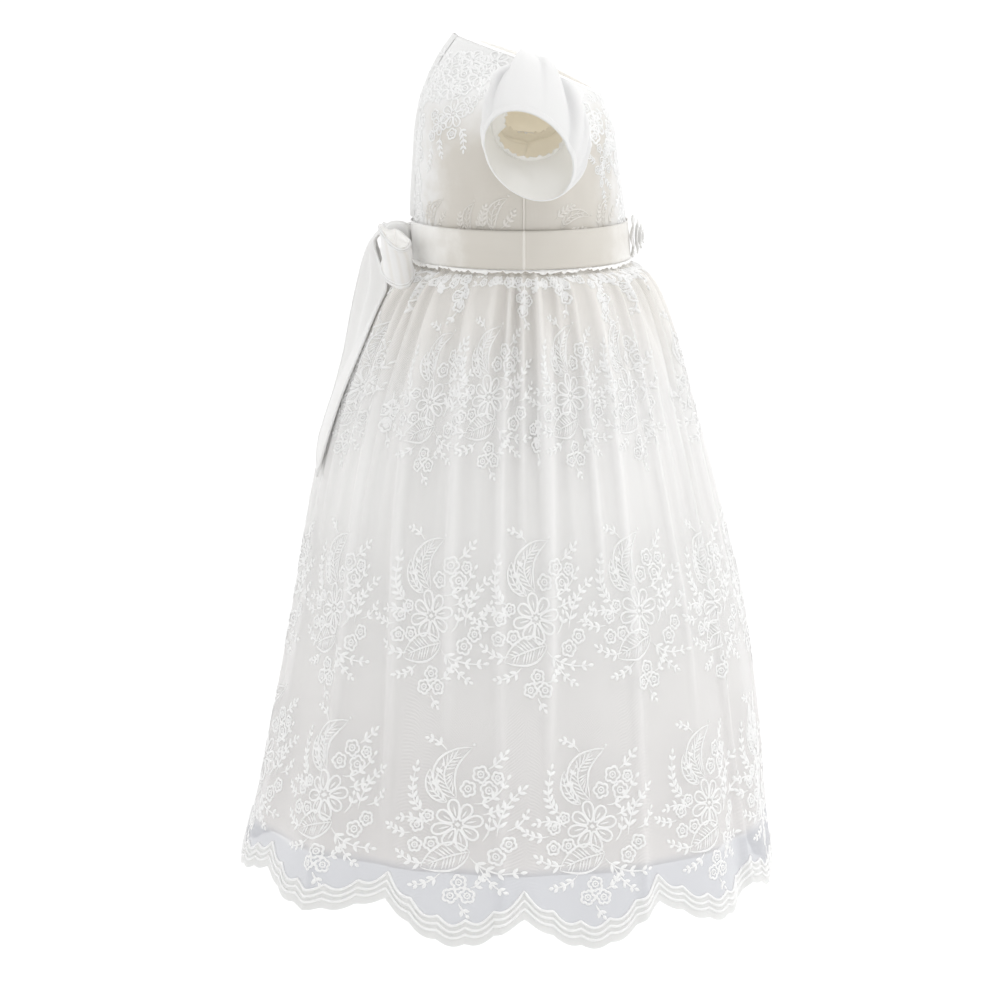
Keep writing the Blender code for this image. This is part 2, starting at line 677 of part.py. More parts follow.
def add_rosette(material, collection):
    """Cloth flower: rings of petals round a bud, its back along the belt."""
    shape = bmesh.new()
    rings = []
    for ring in ROSETTE_RINGS:
        line = []
        for segment in range(ROSETTE_SEGMENTS):
            turn = 2 * math.pi * segment / ROSETTE_SEGMENTS
            wave = math.cos(ROSETTE_PETALS * turn + math.pi * 2 * ring.turn)
            radius = ROSETTE_RADIUS * ring.radius * (1 + ring.petal * wave)
            z = ROSETTE_Z + radius * math.sin(turn)
            belt_y = bodice_section(0.0, max(z, BELT_BOTTOM_Z), True, RIBBON_WALL + 2 * SEAM_GAP)[1]
            line.append(shape.verts.new((radius * math.cos(turn), belt_y - ring.height * MM, z)))
        rings.append(line)
    for lower, upper in zip(rings, rings[1:]):
        for segment in range(ROSETTE_SEGMENTS):
            beside = (segment + 1) % ROSETTE_SEGMENTS
            shape.faces.new((lower[segment], lower[beside], upper[beside], upper[segment]))
    shape.faces.new(rings[0][::-1])
    shape.faces.new(rings[-1])
    bmesh.ops.recalc_face_normals(shape, faces=shape.faces)
    mesh = bpy.data.meshes.new("rosette")
    shape.to_mesh(mesh)
    shape.free()
    mesh.materials.append(material)
    mesh.shade_smooth()
    collection.objects.link(bpy.data.objects.new("rosette", mesh))


def build_gown():
    clear_scene()
    collection = make_collection()
    lace = cloth_material("embroidered_tulle", (0.88, 0.88, 0.87), 0.75)
    lining = cloth_material("cotton_lining", (0.90, 0.88, 0.84), 0.80)
    voile = cloth_material("sleeve_voile", (0.92, 0.91, 0.89), 0.60)
    satin = cloth_material("satin_ribbon", (0.89, 0.87, 0.83), 0.35)
    add_bodice(lace, collection)
    add_placket(satin, collection)
    add_sleeves(voile, collection)
    add_skirt(lace, lining, collection)
    add_belt(satin, collection)
    add_bow(satin, collection)
    add_rosette(satin, collection)


build_gown()
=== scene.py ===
# Christening gown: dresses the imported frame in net, cotton, ribbon and embroidery.
# Lengths in the dictionaries are millimetres and angles are degrees, unless a note says otherwise.
import math

import bpy
import numpy as np
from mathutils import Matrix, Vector
from mathutils.bvhtree import BVHTree


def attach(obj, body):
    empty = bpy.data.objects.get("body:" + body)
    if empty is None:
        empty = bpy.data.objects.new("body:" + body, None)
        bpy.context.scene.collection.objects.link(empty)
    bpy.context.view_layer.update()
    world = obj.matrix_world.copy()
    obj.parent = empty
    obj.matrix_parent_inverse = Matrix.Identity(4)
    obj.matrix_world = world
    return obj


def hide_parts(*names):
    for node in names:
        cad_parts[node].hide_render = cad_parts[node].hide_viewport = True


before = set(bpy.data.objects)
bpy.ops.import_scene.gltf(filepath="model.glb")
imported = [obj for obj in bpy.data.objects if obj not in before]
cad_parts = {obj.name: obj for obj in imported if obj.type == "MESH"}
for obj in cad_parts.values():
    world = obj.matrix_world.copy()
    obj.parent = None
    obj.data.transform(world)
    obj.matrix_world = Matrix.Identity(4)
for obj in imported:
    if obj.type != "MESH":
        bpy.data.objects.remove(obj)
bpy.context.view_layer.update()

mm = 0.001


def smoothTable(rows):
    # rows of (place, value, value, ...) become a function that reads all columns on one smooth curve
    table = np.array(sorted(rows), float)
    place = table[:, 0]
    last = len(place) - 1
    after = np.minimum(np.arange(last + 1) + 1, last)
    before = np.maximum(np.arange(last + 1) - 1, 0)
    slope = (table[after] - table[before]) / (place[after] - place[before])[:, None]

    def read(x):
        x = np.clip(np.asarray(x, float), place[0], place[last])
        i = np.clip(np.searchsorted(place, x, side="right") - 1, 0, last - 1)
        span = place[i + 1] - place[i]
        t = ((x - place[i]) / span)[..., None]
        span = span[..., None]
        return (table[i] * (2 * t**3 - 3 * t**2 + 1) + table[i + 1] * (3 * t**2 - 2 * t**3)
                + slope[i] * span * (t**3 - 2 * t**2 + t) + slope[i + 1] * span * (t**3 - t**2))
    return read


def easeIn(x):
    x = np.clip(x, 0.0, 1.0)
    return x * x * (3.0 - 2.0 * x)


def between(start, end, share):
    return start + (end - start) * share


def around(angle, place):
    # signed distance between two angles
    return (angle - place + 180.0) % 360.0 - 180.0


def heading(degrees):
    return np.array([math.cos(math.radians(degrees)), math.sin(math.radians(degrees))])


def unit(vectors):
    # the same directions, each one long
    return vectors / np.maximum(np.linalg.norm(vectors, axis=-1, keepdims=True), 1e-9)


def lengthAlong(line):
    # how far along the line each of its points lies
    return np.concatenate([[0], np.cumsum(np.linalg.norm(np.diff(line, axis=0), axis=1))])


def crossed(rows, columns):
    # two lists of places spread over a grid, one down its rows and one along its columns
    return np.meshgrid(rows, columns, indexing="ij")


def roundTurn(count, whole=2 * np.pi):
    # that many equal steps round a circle
    return np.arange(count) * whole / count


def ripples(turn, table):
    # a sum of waves round a circle: how many, their strength, where they start
    return sum(strength * np.sin(waves * turn + start) for waves, strength, start in table)


def uneven(number, amount, rate, start=0.0):
    # an amount to one side or the other, different for each number
    return amount * math.sin(rate * number + start)


def catmullRom(grid, steps):
    # more rows between the rows of a grid, on smooth curves through them
    padded = np.concatenate([[2 * grid[0] - grid[1]], grid, [2 * grid[-1] - grid[-2]]])
    rows = []
    for i in range(len(grid) - 1):
        a, b, c, d = padded[i:i + 4]
        for step in range(steps):
            t = step / steps
            rows.append(0.5 * (2 * b + (c - a) * t + (2 * a - 5 * b + 4 * c - d) * t**2
                               + (3 * b - a - 3 * c + d) * t**3))
    rows.append(grid[-1])
    return np.array(rows)


def refine(grid, steps):
    return catmullRom(catmullRom(grid, steps).swapaxes(0, 1), steps).swapaxes(0, 1)


def mirrorX(grid):
    return grid * np.array([-1.0, 1.0, 1.0])


def outwardNormals(grid):
    # normals of a grid of points on the bodice, all away from its middle
    normal = unit(np.cross(np.gradient(grid, axis=1), np.gradient(grid, axis=0)))
    facing = np.sum(normal * grid * np.array([1.0, 1.0, 0.0]), axis=2, keepdims=True)
    return np.where(facing < 0, -normal, normal)


def addToScene(name, data):
    thing = bpy.data.objects.new(name, data)
    bpy.context.scene.collection.objects.link(thing)
    return thing


class Nodes:
    # a short hand for the node tree of a material or of the world
    def __init__(self, owner):
        self.owner = owner
        owner.use_nodes = True
        self.tree = owner.node_tree

    def feed(self, socket, value):
        # a link, a number or a colour
        if isinstance(value, bpy.types.NodeSocket):
            self.tree.links.new(value, socket)
        elif isinstance(value, tuple) and len(value) == 3:
            socket.default_value = (*value, 1.0)
        else:
            socket.default_value = value

    def add(self, kind, inputs=(), **settings):
        node = self.tree.nodes.new("ShaderNode" + kind)
        for key, value in settings.items():
            setattr(node, key, value)
        for key, value in dict(inputs).items():
            self.feed(node.inputs[key], value)
        return node

    def math(self, operation, a, b=0.0, c=0.0):
        return self.add("Math", {0: a, 1: b, 2: c}, operation=operation).outputs[0]

    def ramp(self, value, start, end, low=0.0, high=1.0, **settings):
        # low at start, high at end
        return self.add("MapRange", {0: value, 1: start, 2: end, 3: low, 4: high}, **settings).outputs[0]

    def blend(self, share, first, second):
        return self.add("Mix", {0: share, 6: first, 7: second}, data_type="RGBA").outputs[2]

    def spot(self):
        return self.add("TexCoord").outputs["Object"]

    def height(self):
        return self.add("SeparateXYZ", {0: self.spot()}).outputs[2]

    def marked(self, name):
        # the number that markPoints wrote on the piece
        return self.add("Attribute", attribute_name=name).outputs["Fac"]

    def cloth(self):
        # coordinates along the cloth, in metres
        split = self.add("SeparateXYZ", {0: self.add("UVMap", uv_map="cloth").outputs[0]})
        return split.outputs[0], split.outputs[1]

    def threads(self, place, period):
        # 0 between two threads, 1 on a thread
        return self.math("ABSOLUTE", self.math("SINE", self.math("MULTIPLY", place, math.pi / (period * mm))))

    def cloudy(self, scale, first, second):
        # a slow change from place to place, between two colours
        noise = self.add("TexNoise", {"Vector": self.spot(), "Scale": scale, "Detail": 3.0})
        return self.blend(self.ramp(noise.outputs["Fac"], 0.3, 0.7), first, second)

    def bump(self, height, depth, strength):
        inputs = {"Height": height, "Distance": depth * mm, "Strength": strength}
        return self.add("Bump", inputs).outputs[0]

    def finish(self, **sockets):
        shader = self.tree.nodes["Principled BSDF"]
        for socket, value in sockets.items():
            name = socket[0].upper() + "".join(" " + c if c.isupper() else c for c in socket[1:])
            self.feed(shader.inputs[name], value)
        return self.owner


def newMaterial(name):
    return Nodes(bpy.data.materials.new(name))


def shadeTowardsEnds(nodes, tone, look):
    # painted shade: a darker tone towards the waist, under the belt and the gathers, or towards the hem
    for start, end, color in look.get("towards", ()):
        tone = nodes.blend(nodes.ramp(nodes.height(), start * mm, end * mm), tone, color)
    return tone


def netMaterial(name, look):
    # fine diamond net: solid threads, finer haze in the holes, greyer where no lining lies behind it, a
    # painted shade of the gown's dark inside seen through it
    nodes = newMaterial(name)
    u, v = nodes.cloth()
    slant = nodes.threads(nodes.math("ADD", u, v), look["cell"])
    counter = nodes.threads(nodes.math("SUBTRACT", u, v), look["cell"])
    knots = nodes.math("MAXIMUM", slant, counter)
    bare = nodes.ramp(nodes.height(), look["linedTo"] * mm, look["bareFrom"] * mm)
    haze = nodes.math("MULTIPLY_ADD", bare, look["bareHoles"] - look["holes"], look["holes"])
    haze = nodes.math("MULTIPLY_ADD", nodes.marked("doubled"), look["doubled"], haze)
    mesh = nodes.ramp(knots, look["thread"] - 0.1, look["thread"] + 0.05, haze, look["threads"])
    tone = shadeTowardsEnds(nodes, nodes.cloudy(14.0, look["color"], look["shade"]), look)
    # painted shade: a greyer colour below the lining's hem, for the dark inside seen through the net
    return nodes.finish(baseColor=nodes.blend(bare, tone, look["bare"]), normal=nodes.bump(knots, 0.15, 0.5),
                        alpha=mesh, roughness=0.8, sheenWeight=0.25, sheenRoughness=0.5)


def whiteAndLitParts(nodes, look):
    # share of white, mostly painted light: above a height (on the bodice partly its own white yoke lace), and
    # towards the front and the back, where more light falls
    spot = nodes.spot()
    split = nodes.add("SeparateXYZ", {0: spot})
    noise = nodes.add("TexNoise", {"Vector": spot, "Scale": 70.0, "Detail": 4.0}).outputs["Fac"]
    edge = nodes.math("MULTIPLY_ADD", noise, 30.0 * mm, -15.0 * mm)
    high = nodes.ramp(nodes.math("ADD", split.outputs[2], edge), look["plainTo"] * mm, look["whiteFrom"] * mm)
    edge = nodes.math("ADD", edge, look.get("towardsBack", 0.0) * mm)
    across = nodes.math("ABSOLUTE", nodes.math("ADD", split.outputs[1], edge))
    ends = nodes.ramp(across, look["sidePlain"] * mm, look["sideLit"] * mm, interpolation_type="SMOOTHSTEP")
    if "endsFrom" in look:
        low, top = look["endsFrom"]
        ends = nodes.math("MULTIPLY", ends, nodes.ramp(split.outputs[2], low * mm, top * mm))
    return nodes.math("MAXIMUM", high, ends)


def wovenMaterial(name, look):
    # plain weave, warp over weft, with faint slubs and a slow change of tone
    nodes = newMaterial(name)
    u, v = nodes.cloth()
    weave = nodes.math("MULTIPLY", nodes.threads(u, look["period"]), nodes.threads(v, look["period"]))
    along = nodes.add("CombineXYZ", {0: nodes.math("MULTIPLY", u, 60.0), 1: nodes.math("MULTIPLY", v, 900.0)})
    slubs = nodes.add("TexNoise", {"Vector": along.outputs[0], "Scale": 1.0, "Detail": 2.0})
    relief = nodes.math("MULTIPLY_ADD", slubs.outputs["Fac"], 0.6, weave)
    tone = shadeTowardsEnds(nodes, nodes.cloudy(18.0, look["color"], look["shade"]), look)
    # painted light: the cloth turns whiter, and may glow, towards its lit ends and top
    if "white" in look:
        share = whiteAndLitParts(nodes, look)
        tone = nodes.blend(share, tone, look["white"])
        if "whiteGlow" in look:
            glow = nodes.math("MULTIPLY", share, look["whiteGlow"])
            nodes.finish(emissionColor=look["white"], emissionStrength=glow)
    if "crease" in look:
        # less light reaches the bottom of a fold
        tone = nodes.blend(nodes.marked("crease"), tone, look["crease"])
    if "glow" in look:
        # painted glow that lifts the shade, standing in for light that comes through the thin cloth
        nodes.finish(emissionColor=look["color"], emissionStrength=look["glow"])
    return nodes.finish(baseColor=nodes.blend(nodes.math("MULTIPLY", weave, 0.25), tone, look["glint"]),
                        normal=nodes.bump(relief, look.get("depth", 0.12), look.get("relief", 0.5)),
                        roughness=look["roughness"], sheenWeight=look.get("sheen", 0.2), sheenRoughness=0.4)


def threadMaterial(name, look):
    # satin stitches laid across each embroidered line
    nodes = newMaterial(name)
    stitches = nodes.threads(nodes.cloth()[0], look["stitch"])
    tone = nodes.cloudy(40.0, look["color"], look["shade"])
    # painted shade between the stitches, with their tops a little lighter
    deep = nodes.blend(nodes.math("MULTIPLY", stitches, 0.35), look["shade"], tone)
    return nodes.finish(baseColor=deep, normal=nodes.bump(stitches, 0.1, 0.5),
                        roughness=0.5, sheenWeight=0.3, sheenRoughness=0.35)


# net: size of a cell, where its thread starts, how solid its holes and threads are, also where gathers double
# it and where no lining lies behind it, with painted shade there and towards the waist and the hem
netLook = {"color": (0.955, 0.95, 0.94), "shade": (0.93, 0.925, 0.915), "bare": (0.60, 0.61, 0.645),
           "cell": 1.0, "thread": 0.93, "holes": 0.50, "doubled": 0.27, "threads": 0.97, "bareHoles": 0.62,
           # painted shade: darker towards the waist and towards the hem
           "towards": [(-260.0, -175.0, (0.925, 0.90, 0.86)), (-390.0, -560.0, (0.905, 0.888, 0.88))],
           "linedTo": -585.0, "bareFrom": -592.0}
borderLook = {"color": (0.95, 0.95, 0.94), "shade": (0.93, 0.93, 0.92), "bare": (0.90, 0.90, 0.885),
              "cell": 0.7, "thread": 0.9, "holes": 0.82, "doubled": 0.0, "threads": 0.98, "bareHoles": 0.82,
              "linedTo": -560.0, "bareFrom": -600.0}
# cloth: its tones and painted shade, where it is white or painted lighter and glowing, its painted shade in
# folds, period of the weave, and how its surface shines
liningLook = {"color": (0.93, 0.915, 0.89), "shade": (0.91, 0.893, 0.865), "glint": (0.95, 0.94, 0.92),
              # painted shade: darker towards the waist and towards the hem
              "towards": [(-340.0, -190.0, (0.85, 0.805, 0.735)), (-400.0, -585.0, (0.80, 0.775, 0.75))],
              # painted light: whiter and glowing towards the front and the back, above a height
              "white": (0.965, 0.962, 0.955), "plainTo": 100.0, "whiteFrom": 200.0, "towardsBack": -22.0,
              "sidePlain": 44.0, "sideLit": 104.0, "endsFrom": (-385.0, -285.0), "whiteGlow": 0.15,
              "period": 0.5, "roughness": 0.85}
# painted shade and light: a darker cream (partly the cream lining under the net) that turns white towards the
# top, front and back
bodiceLook = {"color": (0.70, 0.665, 0.605), "shade": (0.665, 0.628, 0.565), "glint": (0.80, 0.78, 0.74),
              "white": (0.91, 0.91, 0.905), "plainTo": -80.0, "whiteFrom": -42.0, "sidePlain": 50.0,
              "sideLit": 80.0, "period": 0.9, "roughness": 0.8, "depth": 0.2}
insideLook = {"color": (0.955, 0.905, 0.79), "shade": (0.94, 0.885, 0.765), "glint": (0.96, 0.92, 0.82),
              "period": 0.5, "roughness": 0.85, "glow": 0.07}
sleeveInsideLook = {"color": (0.96, 0.95, 0.915), "shade": (0.945, 0.933, 0.895), "glint": (0.97, 0.96, 0.94),
                    "period": 0.45, "roughness": 0.85, "glow": 0.065}
voileLook = {"color": (0.925, 0.923, 0.918), "shade": (0.903, 0.90, 0.893), "glint": (0.955, 0.955, 0.95),
             "crease": (0.62, 0.62, 0.625), "period": 0.45, "roughness": 0.75}
# painted light: a strong glow so the neck's edge and facing stay white in shade
facingLook = {"color": (0.94, 0.938, 0.932), "shade": (0.92, 0.917, 0.908), "glint": (0.97, 0.97, 0.965),
              "period": 0.45, "roughness": 0.75, "glow": 0.36}
ribbonLook = {"period": 0.3, "roughness": 0.42, "sheen": 0.35, "relief": 0.25, "depth": 0.05}
softRibbonLook = {**ribbonLook, "roughness": 0.5, "sheen": 0.3}
# painted shade and light: a darker cream middle that turns white and glows towards the back and the front
# ends
satinLook = {**ribbonLook, "color": (0.705, 0.67, 0.608), "shade": (0.675, 0.638, 0.572),
             "glint": (0.82, 0.80, 0.765), "white": (0.96, 0.955, 0.935), "plainTo": -80.0,
             "whiteFrom": -42.0, "towardsBack": 9.0, "sidePlain": 46.0, "sideLit": 90.0, "whiteGlow": 0.07}
bowLook = {**ribbonLook, "color": (0.862, 0.857, 0.845), "shade": (0.84, 0.834, 0.82),
           "glint": (0.94, 0.935, 0.925), "crease": (0.79, 0.765, 0.72)}
# painted light: a lighter, glowing copy of the bow's satin, for the shaded insides of the loops and the frill
bowInsideLook = {**softRibbonLook, "color": (0.93, 0.925, 0.91), "shade": (0.915, 0.91, 0.895),
                 "glint": (0.96, 0.955, 0.945), "glow": 0.15}
# painted glow on a darker colour: lifts the shade between the petals and dims their lit sides
rosetteLook = {**softRibbonLook, "color": (0.74, 0.736, 0.724), "shade": (0.71, 0.705, 0.69),
               "glint": (0.82, 0.815, 0.805), "glow": 0.18}
seamLook = {**softRibbonLook, "color": (0.85, 0.82, 0.77), "shade": (0.82, 0.785, 0.725),
            "glint": (0.90, 0.87, 0.83), "sheen": 0.2}
# painted shade: a darker cream copy of the white thread, for the sprigs on the bodice's shaded sides
shadedThreadLook = {"color": (0.85, 0.825, 0.78), "shade": (0.80, 0.77, 0.72), "stitch": 0.45}
threadLook = {"color": (0.985, 0.985, 0.98), "shade": (0.955, 0.955, 0.95), "stitch": 0.45}

net = netMaterial("embroideredNet", netLook)
border = netMaterial("scallopBorder", borderLook)
cotton = wovenMaterial("cottonLining", liningLook)
bodiceCloth = wovenMaterial("netOverCotton", bodiceLook)
insideCloth = wovenMaterial("creamInside", insideLook)
voile = wovenMaterial("sleeveVoile", voileLook)
facingCloth = wovenMaterial("neckFacing", facingLook)
seamCloth = wovenMaterial("seamCloth", seamLook)
sleeveInside = wovenMaterial("sleeveInside", sleeveInsideLook)
satin = wovenMaterial("satinRibbon", satinLook)
bowSatin = wovenMaterial("bowSatin", bowLook)
bowInside = wovenMaterial("bowInside", bowInsideLook)
rosetteCloth = wovenMaterial("rosetteCloth", rosetteLook)
thread = threadMaterial("embroideryThread", threadLook)
shadedThread = threadMaterial("shadedThread", shadedThreadLook)
print("materials ready")


def addPiece(name, points, faces, uvs, material, inside=None, thick=0.0, nodes=(), slot="embroidered_tulle"):
    # points in millimetres; uvs holds one pair for each corner of each face, in metres
    mesh = bpy.data.meshes.new(name)
    mesh.from_pydata((points * mm).tolist(), [], faces.tolist())
    mesh.uv_layers.new(name="cloth").data.foreach_set("uv", np.asarray(uvs, float).ravel())
    mesh.materials.append(material)
    mesh.shade_smooth()
    piece = addToScene(name, mesh)
    if thick:
        wall = piece.modifiers.new("cloth thickness", "SOLIDIFY")
        wall.thickness = thick * mm
        wall.offset = -1.0
        if inside:
            mesh.materials.append(inside)
            wall.material_offset = 1
    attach(piece, "root")
    if nodes:
        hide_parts(*nodes)
    return piece


def markPoints(piece, name, values):
    # a number for each point, for the material to read
    layer = piece.data.attributes.new(name, "FLOAT", "POINT")
    layer.data.foreach_set("value", np.asarray(values).ravel().astype(np.float32))


def joined(shapes):
    # points, faces and coordinates of several shapes as one
    points, faces, uvs = zip(*shapes)
    starts = np.cumsum([0] + [len(p) for p in points[:-1]])
    return np.concatenate(points), np.concatenate([f + s for f, s in zip(faces, starts)]), np.concatenate(uvs)


def gridFaces(rows, columns, wrap=False, flip=False):
    # quads of a grid, and for each of their corners its row and its column
    row, column = crossed(np.arange(rows - 1), np.arange(columns if wrap else columns - 1))
    row = row.ravel()
    column = column.ravel()
    corners = [(row, column), (row, column + 1), (row + 1, column + 1), (row + 1, column)]
    if flip:
        corners = corners[::-1]
    cornerRow, cornerColumn = (np.stack(list(each), axis=1) for each in zip(*corners))
    return cornerRow * columns + cornerColumn % columns, cornerRow, cornerColumn


def addCloth(name, grid, material, wrap=False, flip=False, **rest):
    # a sheet through a grid of points, with lengths along the cloth as its coordinates
    rows, columns = grid.shape[:2]
    faces, cornerRow, cornerColumn = gridFaces(rows, columns, wrap, flip)
    middleRow = grid[rows // 2]
    if wrap:
        middleRow = np.concatenate([middleRow, middleRow[:1]])
    along = lengthAlong(middleRow) * mm
    upright = lengthAlong(grid[:, columns // 2]) * mm
    uvs = np.stack([along[cornerColumn], upright[cornerRow]], axis=2)
    return addPiece(name, grid.reshape(-1, 3), faces, uvs, material, **rest)


def tube(line, radius, closed, sides=6):
    # points, faces and coordinates of a round cord along a line of points
    if closed:
        ahead = np.roll(line, -1, axis=0) - np.roll(line, 1, axis=0)
    else:
        ahead = np.gradient(line, axis=0)
    ahead = unit(ahead)
    guide = np.where(np.abs(ahead[:, 2:3]) > 0.9, np.array([[0.0, 1.0, 0.0]]), np.array([[0.0, 0.0, 1.0]]))
    side = unit(np.cross(ahead, guide))
    up = np.cross(side, ahead)
    turn = roundTurn(sides)[None, :, None]
    points = line[:, None] + radius * (side[:, None] * np.cos(turn) + up[:, None] * np.sin(turn))
    faces, cornerRow, cornerColumn = gridFaces(len(line) + closed, sides, wrap=True)
    length = lengthAlong(np.concatenate([line, line[:1]])) * mm
    uvs = np.stack([length[cornerRow], cornerColumn * 2 * np.pi * radius / sides * mm], axis=2)
    return points.reshape(-1, 3), faces % (len(line) * sides), uvs


def addCords(name, lines, radius, material, closed=False, **rest):
    # one piece of several cords
    return addPiece(name, *joined([tube(line, radius, closed) for line in lines]), material, **rest)


# A motif is a list of stitched lines, each with points across it. x runs along the cloth to the right,
# y up, and the third number is the height over the cloth.

stitchLook = {"cord": 1.75, "fine": 1.45, "leaf": 2.7, "height": 0.55, "lift": 0.1}


def leftOf(line):
    # the direction square to a flat line at each of its points
    ahead = np.gradient(line, axis=0)
    if np.allclose(line[0], line[-1]):
        ahead[0] = ahead[-1] = line[1] - line[-2]
    ahead = unit(ahead)
    return np.stack([-ahead[:, 1], ahead[:, 0]], axis=1)


def stitched(line, width=stitchLook["cord"], taper=True):
    # one raised line of stitches, rounded across
    share = np.linspace(0.0, 1.0, len(line))
    size = width * (np.clip(np.sin(np.pi * share), 0.02, 1.0) ** 0.4 if taper else np.ones(len(line)))
    across = np.array([-0.5, -0.25, 0.25, 0.5])
    flat = line[:, None] + leftOf(line)[:, None] * size[:, None, None] * across[None, :, None]
    high = stitchLook["height"] * np.array([0.0, 1.0, 1.0, 0.0])[None] * (size / width)[:, None]
    uvs = np.stack([np.repeat(lengthAlong(line)[:, None], 4, axis=1), size[:, None] * across[None]], axis=2)
    return np.concatenate([flat, high[:, :, None]], axis=2), uvs * mm


def curve(start, control, end, count):
    t = np.linspace(0.0, 1.0, count)[:, None]
    start, control, end = (np.asarray(p, float) for p in (start, control, end))
    return start * (1 - t) ** 2 + control * 2 * t * (1 - t) + end * t**2


def petal(centre, direction, length, width):
    # outline of a petal and the line down its middle
    t = np.linspace(0.0, 2 * np.pi, 15)
    along = length * (1 - np.cos(t)) / 2
    across = width / 2 * np.sin(t) * (0.45 + 0.55 * (1 - np.cos(t)) / 2)
    ahead, side = heading(direction), heading(direction + 90.0)
    outline = centre + along[:, None] * ahead + across[:, None] * side
    start, end = centre + ahead * length * 0.16, centre + ahead * length * 0.66
    middle = curve(start, (start + end) / 2, end, 4)
    return [stitched(outline, taper=False), stitched(middle, stitchLook["fine"])]


def bloom(centre, radius, petals, turn):
    # open flower of outlined petals round a knot
    centre = np.asarray(centre, float)
    made = [stitched(centre + radius * np.array([[-0.1, 0], [0, 0.01], [0.1, 0]]), radius * 0.2)]
    for number in range(petals):
        direction = turn + 360.0 * number / petals
        reach = radius * (1.0 - 0.12 * (number % 2))
        root = centre + radius * 0.2 * heading(direction)
        made += petal(root, direction, reach * 0.82, radius * 4.5 / petals)
    return made


def rose(centre, radius, turn=0.0):
    # small close flower: a scalloped outline, a ring inside it and a knot
    centre = np.asarray(centre, float)
    t = np.linspace(0.0, 2 * np.pi, 21)
    lobes = radius * (0.72 + 0.22 * np.abs(np.sin(2.5 * t)))
    spin = t + math.radians(turn)
    outline = centre + lobes[:, None] * np.stack([np.cos(spin), np.sin(spin)], axis=1)
    t = np.linspace(0.0, 2 * np.pi, 9)
    ring = centre + 0.36 * radius * np.stack([np.cos(t), np.sin(t)], axis=1)
    knot = centre + np.array([[-0.16, 0], [0, 0.04], [0.16, 0]]) * radius
    return [stitched(outline, stitchLook["cord"] * 1.1, taper=False),
            stitched(ring, stitchLook["fine"], taper=False), stitched(knot, radius * 0.3)]


def leafStitch(base, direction, length):
    share = np.array([0.0, 0.35, 0.7, 1.0])[:, None]
    return stitched(base + heading(direction) * length * share, stitchLook["leaf"])


def sprig(start, control, end, leaves, length, spread=42.0):
    # a stem with pairs of leaves and one at its tip
    stem = curve(start, control, end, 9)
    turns = np.degrees(np.arctan2(*np.diff(stem, axis=0).T[::-1]))
    made = [stitched(stem, stitchLook["fine"]), leafStitch(stem[-1], turns[-1], length * 0.7)]
    for number in range(leaves):
        place = (number + 0.8) / (leaves + 0.3) * (len(stem) - 1)
        i = min(int(place), len(stem) - 2)
        point = between(stem[i], stem[i + 1], place - i)
        for side in (1, -1):
            made.append(leafStitch(point, turns[i] + side * spread, length * (1.0 - 0.35 * number / leaves)))
    return made


def feather(start, control, end, width, veins):
    # long bent leaf: two edges, a middle line and slanting veins on both sides of it
    spine = curve(start, control, end, 15)
    share = np.linspace(0.0, 1.0, 15)
    swell = leftOf(spine) * (width / 2 * np.sin(np.pi * share ** 0.85) ** 0.8)[:, None]
    left, right = spine + swell, spine - swell
    made = [stitched(left), stitched(right), stitched(spine[:13], stitchLook["fine"])]
    for number in range(veins):
        i = 1 + round(number * 9 / (veins - 1))
        for edge in (left, right):
            tip = between(spine[i + 2], edge[i + 2], 0.82)
            made.append(stitched(curve(spine[i], (spine[i] + tip) / 2, tip, 3), stitchLook["fine"]))
    return made


def veinedLeaf(start, end, width, veins, bend):
    # broad leaf, bent sideways at its middle
    start, end = np.asarray(start, float), np.asarray(end, float)
    side = unit(np.array([start[1] - end[1], end[0] - start[0]]))
    return feather(start, (start + end) / 2 + side * bend, end, width, veins)


def crescent(start, control, end, width, veins):
    # feather with a small knot past its tip
    knot = np.asarray(end, float) + np.array([[0.6, 1.6], [1.4, 2.4], [2.2, 3.2]])
    return feather(start, control, end, width, veins) + [stitched(knot, 2.6)]


